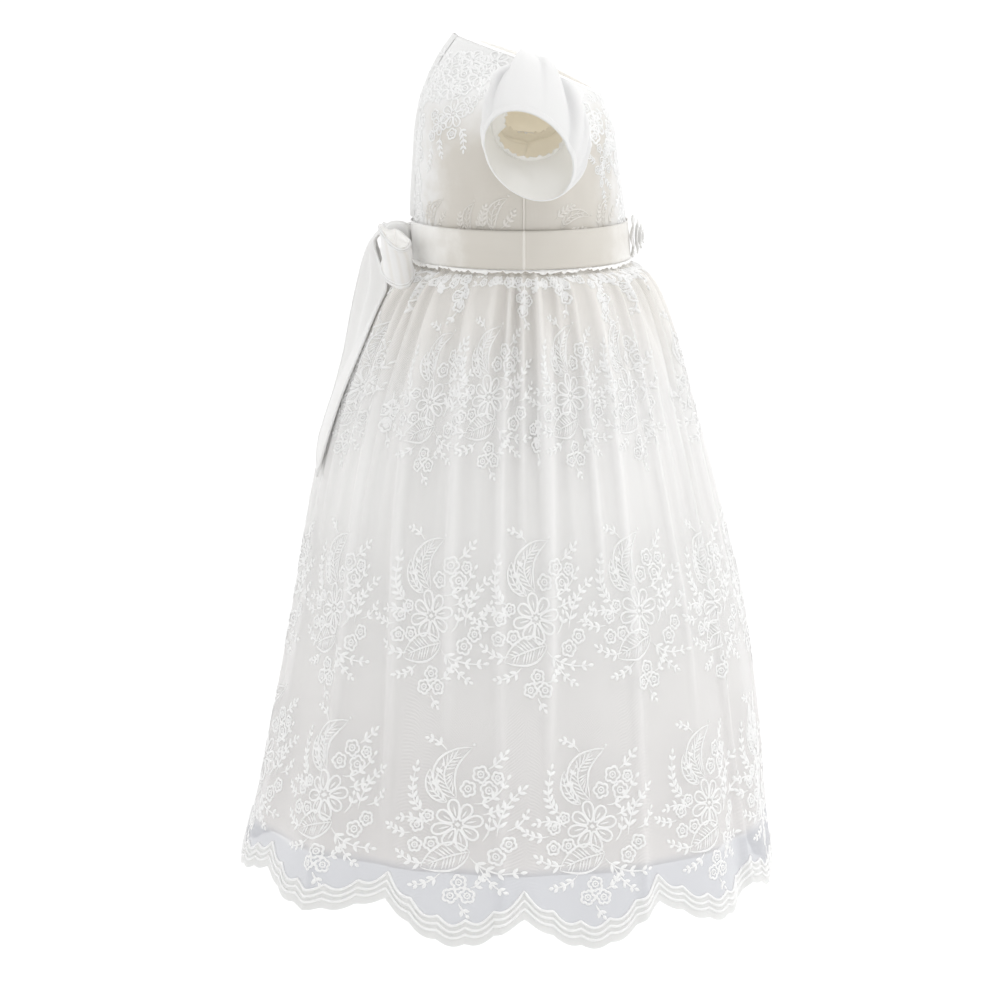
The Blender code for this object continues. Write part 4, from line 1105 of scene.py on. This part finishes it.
# where motifs lie on the bodice: place, outward direction, size, turn; each is repeated on the other side
bodiceSprigs = [((-92, 22, -127), (-1, 0.25, 0), 0.85, 10), ((-84, 42, -131), (-1, 0.55, 0), 0.7, 25),
                ((-88, -36, -129), (-1, -0.4, 0), 0.8, -40), ((-60, -60, -128), (-0.6, -1, 0), 0.75, 10),
                ((-56, 66, -128), (-0.6, 1, 0), 0.75, 0)]
yokeBlooms = [((-64, 50, -55), (-0.8, 0.8, 0.1), 0.66, 0), ((-56, -58, -88), (-0.7, -0.9, 0.05), 0.5, 30)]
laceStep = 13.0
# fields of close lace: place, outward direction, width, height, seed of its scatter
yokes = {
    "backYokeLace": [((-30, 62, -24), (-0.4, 1, 0.4), 44, 44, 1),
                     ((-62, 40, -22), (-0.9, 0.7, 0.35), 34, 28, 2),
                     ((-24, 80, -96), (-0.2, 1, 0.1), 14, 92, 3)],
    "frontYokeLace": [((-26, -60, -62), (-0.35, -1, 0.3), 40, 36, 4),
                      ((-18, -74, -112), (-0.2, -1, 0), 30, 60, 5),
                      ((-60, -46, -56), (-0.8, -0.8, 0.2), 24, 34, 6)],
}


def makeBodiceEmbroidery(pieces):
    tree = surfaceTree(pieces)

    def onBothSides(motif, at, out, size=1.0, turn=0.0):
        return [sewOnBodice(motif, tree, (at[0] * side, *at[1:]), (out[0] * side, *out[1:]), size=size,
                            turn=turn * side, mirror=side < 0) for side in (1, -1)]
    made = []
    # the bodice's sprigs use the darker thread: painted shade
    for name, motif, spots, stitches in (("bodiceSprigs", leafSprig, bodiceSprigs, shadedThread),
                                         ("yokeBlooms", yokeBloom, yokeBlooms, thread)):
        drawn = motifMesh(motif)
        parts = [part for spot in spots for part in onBothSides(drawn, *spot)]
        made.append(joinMotifs(name, parts, stitches))
    for name, fields in yokes.items():
        parts = []
        for at, out, width, height, seed in fields:
            parts += onBothSides(motifMesh(laceGround(width, height, laceStep, seed)), at, out)
        made.append(joinMotifs(name, parts))
    return made


placket = {"halfWidth": 13.0, "lift": 2.0, "edgeLift": -0.35, "gape": 0.3, "ribs": 5, "bottom": -137.0,
           "gapeFrom": -34.0, "gapeOver": 30.0, "rib": 0.5, "columns": 41}


def makePlacket():
    # ribbed strip over the closure; its edges lie on the bodice and gape a little at the neck
    reach = np.linspace(-1.0, 1.0, placket["columns"])
    x = np.abs(reach) * placket["halfWidth"]
    grid = []
    for row in bodiceHalf(False):
        if row[0][2] <= placket["bottom"]:
            continue
        y, z = (np.interp(x, -row[:, 0], row[:, axis]) for axis in (1, 2))
        high = easeIn((row[0][2] - placket["gapeFrom"]) / placket["gapeOver"])
        gape = placket["edgeLift"] + placket["gape"] * high
        rise = between(placket["lift"], gape, np.abs(reach) ** 8)
        rib = placket["rib"] * np.cos(np.pi * placket["ribs"] * reach) ** 2
        grid.append(np.stack([reach * placket["halfWidth"], y + rise + rib, z], axis=1))
    return addCloth("backPlacket", np.array(grid), bodiceCloth, flip=True, nodes=("back_placket",))


binding = {"radius": 1.1, "inset": 0.6, "facing": 13.0, "gap": 0.3, "thick": 0.3}


def roundNeck(front, back):
    # the right halves of a line or a strip at the front and the back become one closed ring
    half = np.concatenate([front, back[..., ::-1, :][..., 1:, :]], axis=-2)
    return np.concatenate([half, mirrorX(half)[..., ::-1, :][..., 1:-1, :]], axis=-2)


def facingHalf(front):
    # the strip inside one half, from the neckline down
    columns = bodice["neck"]["columns"] * bodice["finer"] + 1
    grid = bodiceHalf(front)
    inner = (grid - outwardNormals(grid) * (bodice["thick"] + binding["gap"]))[::-1, :columns]
    depths = np.linspace(0.0, binding["facing"], 6)
    return np.stack([pointsAlong(inner[:, column], depths) for column in range(columns)], axis=1)


def makeNeckBinding():
    # rolled edge round the neckline, and a white facing inside it, both in a strongly glowing cloth: painted
    # light that lifts their shade
    columns = range(bodice["neck"]["columns"] + 1)
    loop = roundNeck(*(catmullRom(np.array([topEdge(column, front) for column in columns]), 6)
                       for front in (True, False)))
    loop = loop - unit(loop * np.array([1.0, 1.0, 0.0])) * binding["inset"]
    strip = roundNeck(facingHalf(True), facingHalf(False))
    return [addCords("neckBinding", [loop], binding["radius"], facingCloth, closed=True),
            addCloth("neckFacing", strip, facingCloth, wrap=True, thick=binding["thick"])]


bodicePieces = makeBodice()
backPlacket = makePlacket()
bodiceEmbroidery = makeBodiceEmbroidery(bodicePieces + [backPlacket])
neckBinding = makeNeckBinding()
print("bodice ready")


sleeve = {
    "start": 8.0, "headRise": 9.0, "frontLean": 0.35, "gathers": 9, "gatherDepth": 1.3, "underarm": 0.4,
    "puffTopLean": 9.0, "puffForward": 9.0, "puffEgg": 0.2, "clear": 1.5, "wall": 1.2,
    "segments": 144, "rings": 44, "thick": 0.7,
    # hem: its centre, half height, half depth, tilt outwards, roll; puff: its centre, half depth, half height
    "right": {"side": -1, "hem": (130.0, -3.0, -81.0, 32.5, 32.5, 21.7, 17.3),
              "puff": (120.0, -13.0, -46.0, 50.0, 62.0)},
    "left": {"side": 1, "hem": (122.0, -4.0, -101.0, 21.0, 33.0, 50.0, 6.0),
             "puff": (124.0, -10.0, -57.0, 45.0, 49.0)},
    # soft folds of the puff: angle round the sleeve, half width, depth, where along it, slant
    "folds": [(50, 9, 6.5, 0.66, -50), (66, 4, 3.2, 0.56, -35), (26, 6, 1.8, 0.76, -20),
              (80, 14, -1.2, 0.35, 0), (103, 3.5, 2.4, 0.58, 15), (128, 13, 7.5, 0.40, 12),
              (140, 7, 5.0, 0.74, 60), (168, 8, 4.2, 0.62, 25), (190, 7, 3.6, 0.68, 10),
              (206, 6, 2.8, 0.72, 0), (4, 8, 2.6, 0.68, 0), (343, 7, 2.2, 0.70, 0), (250, 12, 1.6, 0.60, 0),
              (290, 12, 1.6, 0.50, 0)],
    "foldLength": 0.24, "darkest": 6.8,
    "hemWidth": 4.4, "hemOut": 0.45, "hemThick": 0.9,
    # raw seam edge inside the armhole: angle, how far it stands in
    "allowance": [(0, 11.0), (30, 9.0), (60, 4.0), (110, 3.0), (150, 9.0), (180, 12.0), (200, 11.0),
                  (206, 3.4), (240, 2.4), (270, 3.0), (300, 2.4), (332, 3.2), (338, 9.5), (360, 11.0)],
    "fray": 0.7, "frays": [(31, 1.0, 0.0), (53, 0.6, 1.0), (17, 0.4, 0.0)], "extraLeft": 3.5,
    "edgeOut": 0.2, "edgeDrop": 2.2, "edgeThick": 0.4, "edgeStart": -0.09, "edgeAlong": (0.03, 0.08),
}


def sleeveBase(shape, f, beta, outwards=0.0):
    # f from 0 at the armhole to 1 at the hem, beta round the sleeve
    x0, y0, z0, halfUp, halfBack, tilt, roll = shape["hem"]
    px, py, pz, halfDepth, halfHeight = shape["puff"]
    tilt, roll = math.radians(tilt), math.radians(roll)
    across, up = np.cos(beta), np.sin(beta)
    start = mirrorX(armholePoint(beta, sleeve["clear"]))
    leave = start + np.stack([sleeve["start"] + 0 * up,
                              -sleeve["start"] * sleeve["frontLean"] * np.maximum(-across, 0.0),
                              sleeve["headRise"] * (1 - (1 - np.maximum(up, 0.0)) ** 2)], axis=-1)
    depth = halfDepth * (1.0 - sleeve["puffEgg"] * up)
    control = np.stack([px + sleeve["puffTopLean"] * up, py + sleeve["puffForward"] * up + depth * across,
                        pz + halfHeight * up], axis=-1)
    end = np.stack([x0 + halfUp * up * math.sin(tilt), y0 + halfBack * across * math.cos(roll),
                    z0 + halfUp * up * math.cos(tilt) + halfBack * across * math.sin(roll)], axis=-1)
    t = f[..., None]
    point = start * (1 - t)**3 + leave * 3 * t * (1 - t)**2 + control * 3 * t**2 * (1 - t) + end * t**3
    gather = sleeve["gatherDepth"] * np.sin(np.pi * f) * np.cos(sleeve["gathers"] * beta)
    gather = gather * (sleeve["underarm"] + (1 - sleeve["underarm"]) * np.maximum(up, 0.0)) + outwards
    return point + np.stack([0 * gather, gather * across, gather * up], axis=-1)


def sleeveFolds(f, beta):
    # how deep the folds are at each point
    depth = np.zeros(np.broadcast(f, beta).shape)
    for place, width, fold, middle, drift in sleeve["folds"]:
        away = around(np.degrees(beta), place + drift * (f - middle))
        depth = depth + fold * np.exp(-(away / width) ** 2 - ((f - middle) / sleeve["foldLength"]) ** 2)
    return depth


def sleeveSurface(shape, f, beta, outwards=0.0):
    # the sleeve with its folds pressed in square to the cloth
    point = sleeveBase(shape, f, beta, outwards)
    step = 0.01
    along = sleeveBase(shape, f + step, beta) - sleeveBase(shape, f - step, beta)
    across = sleeveBase(shape, f, beta + step) - sleeveBase(shape, f, beta - step)
    normal = unit(np.cross(across, along))
    outside = np.stack([0 * beta, np.cos(beta), np.sin(beta)], axis=-1)
    normal *= np.where(np.sum(normal * outside, axis=-1, keepdims=True) < 0, -1.0, 1.0)
    return (point - normal * sleeveFolds(f, beta)[..., None]) * np.array([shape["side"], 1.0, 1.0])


def sleeveRows(shape, beta, distances, outwards):
    # rows round the sleeve at given distances back from its hem
    f = np.linspace(1.0, 0.0, 61)
    grid = sleeveSurface(shape, *crossed(f, beta), outwards)
    places = np.array([np.interp(distances, lengthAlong(grid[:, i]), f) for i in range(len(beta))]).T
    return sleeveSurface(shape, places, np.broadcast_to(beta, places.shape), outwards)


def seamRows(shape, beta, extra):
    # raw edge; it starts under the bodice's cloth, so no light shows between the two at the underarm
    wide = np.interp(np.degrees(beta), *np.array(sleeve["allowance"], float).T)
    wide = wide + extra * (np.sin(beta) < -0.3) + sleeve["fray"] * ripples(beta, sleeve["frays"])
    under = sleeve["edgeOut"] + sleeve["edgeDrop"] * np.maximum(-np.sin(beta), 0.0)
    rows = [sleeveSurface(shape, sleeve["edgeStart"] + 0 * beta, beta, under)]
    for share in np.linspace(0.0, 1.0, 7):
        along = between(*sleeve["edgeAlong"], share) + 0 * beta
        rows.append(sleeveSurface(shape, along, beta, sleeve["edgeOut"] - share * wide))
    return np.array(rows)


def makeSleeve(which, lined, extra):
    shape = sleeve[which]
    name = "sleeve" + which.title()
    beta = roundTurn(sleeve["segments"])
    places = crossed(np.linspace(0.0, 1.0, sleeve["rings"]), beta)
    flip = shape["side"] < 0
    puff = addCloth(name, sleeveSurface(shape, *places, sleeve["wall"]), voile, wrap=True, flip=flip,
                    thick=sleeve["thick"], inside=lined, nodes=("sleeve_" + which,), slot="sleeve_voile")
    # painted shade: a darker colour in the folds, darkest where they are deepest
    markPoints(puff, "crease", np.clip(sleeveFolds(*places) / sleeve["darkest"], 0.0, 1.0))
    band = sleeveRows(shape, beta, np.linspace(sleeve["hemWidth"], 0.0, 6), sleeve["wall"] + sleeve["hemOut"])
    hem = addCloth(name + "Hem", band, voile, wrap=True, flip=flip, thick=sleeve["hemThick"],
                   slot="sleeve_voile")
    edge = addCloth(name + "SeamEdge", seamRows(shape, beta, extra), lined, wrap=True,
                    thick=sleeve["edgeThick"], slot="sleeve_voile")


# painted shade: the far left sleeve is lined and edged in the darker cream inside cloth, the right one in a
# whiter cloth
makeSleeve("right", sleeveInside, 0.0)
makeSleeve("left", insideCloth, sleeve["extraLeft"])
print("sleeves ready")


# creases: place across the belt, depth, waves round it, where they start
belt = {"bottom": -165.9, "top": -137.5, "out": 1.0, "thick": 0.8, "rows": 15, "columns": 240, "edge": 0.35,
        "creases": [(0.3, 0.35, 3.0, 0.0), (0.68, 0.3, 2.0, 1.4), (0.5, 0.25, 5.0, 2.6)],
        "creaseWidth": 0.07, "creaseDrift": 0.06, "edgeWidth": 0.05,
        "seams": (0.25, 0.75), "seamRadius": 1.2, "stitches": (0.07, 0.93), "stitchRadius": 0.3}
sideSeam = {"radius": 0.6, "sunk": 0.1}


def beltPoint(share, across, outwards=0.0):
    # share round the waist from the centre back over the right side; across from the lower edge up
    z = between(belt["bottom"], belt["top"], across)
    folded = np.abs(((share + 0.5) % 1.0) - 0.5) * 2 * np.pi
    quarter = np.where(folded <= np.pi / 2, folded, np.pi - folded)
    back, front = (bodiceSection(quarter, z, side, belt["out"] + outwards) for side in (False, True))
    point = np.where((folded <= np.pi / 2)[..., None], back, front)
    point[..., 0] *= np.where(share % 1.0 > 0.5, -1.0, 1.0)
    return point


def makeBelt():
    steps = np.arange(belt["columns"]) / belt["columns"]
    across, share = crossed(np.linspace(0.0, 1.0, belt["rows"]), steps)
    wave = sum(belt["edge"] * np.exp(-(away / belt["edgeWidth"]) ** 2) for away in (across, 1 - across))
    for middle, depth, waves, phase in belt["creases"]:
        drift = belt["creaseDrift"] * np.sin(2 * np.pi * share * waves + phase)
        away = (across - middle - drift) / belt["creaseWidth"]
        wave -= depth * np.exp(-away**2) * (0.6 + 0.4 * np.sin(2 * np.pi * share * 4 + phase))
    ribbon = addCloth("waistBelt", beltPoint(share, across, wave), satin, wrap=True, flip=True,
                      thick=belt["thick"], nodes=("belt_front", "belt_back"), slot="satin_ribbon")
    up = np.linspace(0.0, 1.0, 12)
    seams = addCords("beltSeams", [beltPoint(side + 0 * up, up, 0.25) for side in belt["seams"]],
                     belt["seamRadius"], seamCloth, slot="satin_ribbon")
    edges = addCords("beltEdges", [beltPoint(steps, height + 0 * steps, 0.15) for height in belt["stitches"]],
                     belt["stitchRadius"], thread, closed=True, slot="satin_ribbon")


def makeSideSeams():
    # stitched side seams of the bodice, from the armholes down to the belt
    z = np.linspace(belt["top"], bodice["underarm"] - 1.0, 14)
    line = np.stack([sideSeam["sunk"] - bodiceLevels(z)[:, 1], 0 * z, z], axis=1)
    addCords("sideSeams", [line, mirrorX(line)], sideSeam["radius"], seamCloth)


makeBelt()
makeSideSeams()
print("belt ready")


bow = {
    "knot": {"size": (24.0, 21.0, 26.0), "centre": (0.0, 94.7, -152.0), "sunk": 0.6,
             "creases": [(9.0, 0.7, 0.7), (15.0, 0.4, 0.0)]},
    "loop": {"length": 56.0, "half": 11.0, "sweep": 4.5, "root": 0.34, "swell": 1.4, "flare": 1.2,
             "rootX": 14.2, "y": 95.8, "z": -152.0, "rootWidth": 8.5, "endWidth": 19.0, "roll": 2.0,
             "wall": 1.2, "thick": 0.8, "ripples": 9, "ripple": 0.55, "stitches": (-0.9, -0.8, 0.8, 0.9),
             "stitchLift": 0.2, "stitchRadius": 0.45, "pleats": 2.5, "pleat": 1.3},
    # how far each loop's outer end hangs, and how far its upper rim tilts towards the body
    "droops": {"right": 12.0, "left": 15.0}, "rimTilts": {"right": 6.5, "left": 0.0},
    # height, distance back, centre, half width, how far the outer edge curls in
    "tails": [(-144.0, 105.6, 8.0, 6.5, 0.0), (-152.0, 112.5, 9.5, 8.5, 1.0),
              (-166.0, 118.5, 12.5, 11.5, 12.0), (-184.0, 123.5, 16.0, 14.5, 23.0),
              (-210.0, 129.5, 20.5, 17.5, 20.5), (-240.0, 135.0, 24.5, 19.5, 18.0),
              (-265.0, 140.8, 26.0, 20.0, 16.0), (-290.0, 146.8, 26.5, 20.2, 13.0),
              (-314.0, 151.0, 27.0, 20.4, 10.0)],
    "slant": 12.0, "trough": 3.5, "tailLift": 3.4, "curlPower": 1.4, "tuck": 3.5, "rimDip": 6.0,
    "tailThick": 0.8, "tailOut": 1.2,
    # rolled hem of a tail: how far out, where across it, where down it, radius
    "hemOut": 1.4, "hemSides": (-0.94, 0.94), "hemEnd": 0.985, "hemRadius": 0.4,
}
tailLevels = smoothTable(bow["tails"])


def onSide(which, grid):
    # pieces are worked out on the right
    return mirrorX(grid) if which == "left" else grid


def loopRipple(up, phi):
    return np.cos(bow["loop"]["ripples"] * phi + 1.4 * up + 0.8 * np.sin(2.0 * phi))


def loopPoint(which, up, phi, outwards=0.0):
    # up across the ribbon, phi round the loop from its root
    loop = bow["loop"]
    out = (1 - np.cos(phi)) / 2
    bulge = loop["root"] + (1 - loop["root"]) * easeIn(out * loop["swell"])
    spread = (loop["endWidth"] - loop["rootWidth"]) * easeIn(out * loop["flare"])
    pleat = loop["pleat"] * np.cos(np.pi * loop["pleats"] * up) * (1 - out) * np.abs(np.sin(phi))
    x = loop["rootX"] + loop["length"] * out - np.cos(phi) * outwards
    outwards = outwards + loop["ripple"] * loopRipple(up, phi) * out
    y = loop["y"] + (loop["half"] * bulge + outwards + pleat) * np.sin(phi) + loop["roll"] * up * out
    y = y - loop["sweep"] * out**2
    z = loop["z"] - bow["droops"][which] * out * out + (loop["rootWidth"] + spread) * up
    tilt = bow["rimTilts"][which] * np.sin(phi) * easeIn(out * 1.5)
    z = z - (bow["rimDip"] * out - tilt) * easeIn(up)
    return onSide(which, np.stack([-x, y, z], axis=-1))


def makeLoop(which):
    name = "bowLoop" + which.title()
    loop = bow["loop"]
    turn = roundTurn(96)
    up, phi = crossed(np.linspace(-1.0, 1.0, 21), turn)
    # painted light: the loop's inside faces are in the lighter, glowing satin
    ribbon = addCloth(name, loopPoint(which, up, phi, loop["wall"]), bowSatin, wrap=True,
                      flip=which == "left", thick=loop["thick"], inside=bowInside,
                      nodes=("bow_loop_" + which,), slot="satin_ribbon")
    # painted shade: a darker colour in the troughs of the loop's ripples
    markPoints(ribbon, "crease", np.clip(-loopRipple(up, phi), 0.0, 1.0) * 0.8)
    lines = [loopPoint(which, place, turn, loop["wall"] + loop["stitchLift"]) for place in loop["stitches"]]
    stitches = addCords(name + "Stitches", lines, loop["stitchRadius"], thread, closed=True,
                        slot="satin_ribbon")


def tailPoint(which, down, across, outwards=0.0):
    # down the tail, across it from its inner to its outer edge
    height = between(bow["tails"][0][0], bow["tails"][-1][0], down)
    _, back, centre, half, curled = np.moveaxis(tailLevels(height), -1, 0)
    x = centre + half * across
    z = height - bow["slant"] * across * down**2
    trough = bow["trough"] * np.sin(np.pi * down) * (1 - across**2)
    folds = 1.6 * np.sin(np.pi * 2.2 * across + 0.6) * (1 - down)
    folds = folds + 0.8 * np.sin(np.pi * 1.3 * across + 4 * down)
    curl = curled * ((1 + across) / 2) ** bow["curlPower"]
    y = back - trough - curl + np.maximum(folds, -1.0) - bow["tuck"] * np.exp(-down / 0.04)
    # it never sinks into the back of the skirt
    level = skirtLevels(z)
    skirtBack = level[..., 3] * np.sqrt(1 - np.minimum(np.abs(x) / level[..., 1], 1.0) ** 2)
    y = np.maximum(y, skirtBack + bow["tailLift"])
    return onSide(which, np.stack([-x, y + outwards, z], axis=-1))


def makeTail(which):
    name = "bowTail" + which.title()
    down, across = np.linspace(0.0, 1.0, 60), np.linspace(-1.0, 1.0, 25)
    grid = tailPoint(which, *crossed(down, across), bow["tailOut"])
    ribbon = addCloth(name, grid, bowSatin, flip=which == "right", thick=bow["tailThick"],
                      nodes=("bow_tail_" + which,), slot="satin_ribbon")
    edges = [tailPoint(which, down, place, bow["hemOut"]) for place in bow["hemSides"]]
    edges.append(tailPoint(which, bow["hemEnd"] + 0 * across, across, bow["hemOut"]))
    stitches = addCords(name + "Hem", edges, bow["hemRadius"], thread, slot="satin_ribbon")


def makeKnot():
    # ribbon wound once round the middle of the bow, with creases that run round it
    knot = bow["knot"]
    width, deep, high = (side / 2 for side in knot["size"])
    along, turn = crossed(np.linspace(-1.0, 1.0, 33), roundTurn(64))
    rim = (1 - along**4) ** 0.25
    crease = sum(depth * np.cos(waves * along + start) for waves, depth, start in knot["creases"])
    crease = crease * rim - knot["sunk"]
    back, up = (np.sign(wave) * np.abs(wave) ** 0.75 for wave in (np.cos(turn), np.sin(turn)))
    grid = np.stack([along * width, back * (deep * rim + crease), up * (high * rim + crease)], axis=2)
    addCloth("bowKnot", grid + np.array(knot["centre"]), bowSatin, wrap=True, flip=True, nodes=("bow_knot",),
             slot="satin_ribbon")


for make in (makeLoop, makeTail):
    for which in ("right", "left"):
        make(which)
makeKnot()
print("bow ready")


rosette = {"z": -150.5, "thick": 0.9, "bend": 234.0,
           # petals in a ring, reach, width, lift at the root and at the tip, turn
           "rings": [(6, 16.5, 16.5, 1.8, 3.0, 0.0), (5, 13.2, 15.0, 4.0, 6.6, 32.0),
                     (4, 9.4, 12.0, 5.6, 9.2, 10.0), (3, 5.4, 8.0, 7.0, 11.0, 45.0)]}


def makeRosette():
    # cupped cloth petals in rings, each with a rolled and wavy edge
    base = float(bodiceSection(np.array(0.0), np.array(rosette["z"]), True, 1.9)[1])
    s, t = crossed(np.linspace(0.0, 1.0, 10), np.linspace(-1.0, 1.0, 11))
    quads, cornerRow, cornerColumn = gridFaces(*s.shape)
    made = []
    for petals, reach, width, low, high, turn in rosette["rings"]:
        for number in range(petals):
            cos, sin = heading(turn + 360.0 * number / petals + uneven(number, 5.0, 2.1))
            radius = reach * (s - 0.12 * s * t**2)
            side = width / 2 * t * np.sqrt(np.clip(1 - (1 - s) ** 2, 0, 1)) * (1 - 0.3 * s**3)
            wave = 0.35 * np.sin(2.6 * t + number) * s**2
            cup = between(low, high, s**1.5) + 0.8 * t**2 * s - 1.2 * s**6 + wave
            x = radius * cos - side * sin
            z = radius * sin + side * cos
            grid = np.stack([x, base - cup + x**2 / rosette["bend"], rosette["z"] + z], axis=2)
            places = np.stack([cornerColumn * width / 10 * mm, cornerRow * reach / 9 * mm], axis=2)
            made.append((grid.reshape(-1, 3), quads, places))
    return addPiece("rosetteFlower", *joined(made), rosetteCloth, thick=rosette["thick"], nodes=("rosette",),
                    slot="satin_ribbon")


rosetteFlower = makeRosette()
print("rosette ready")
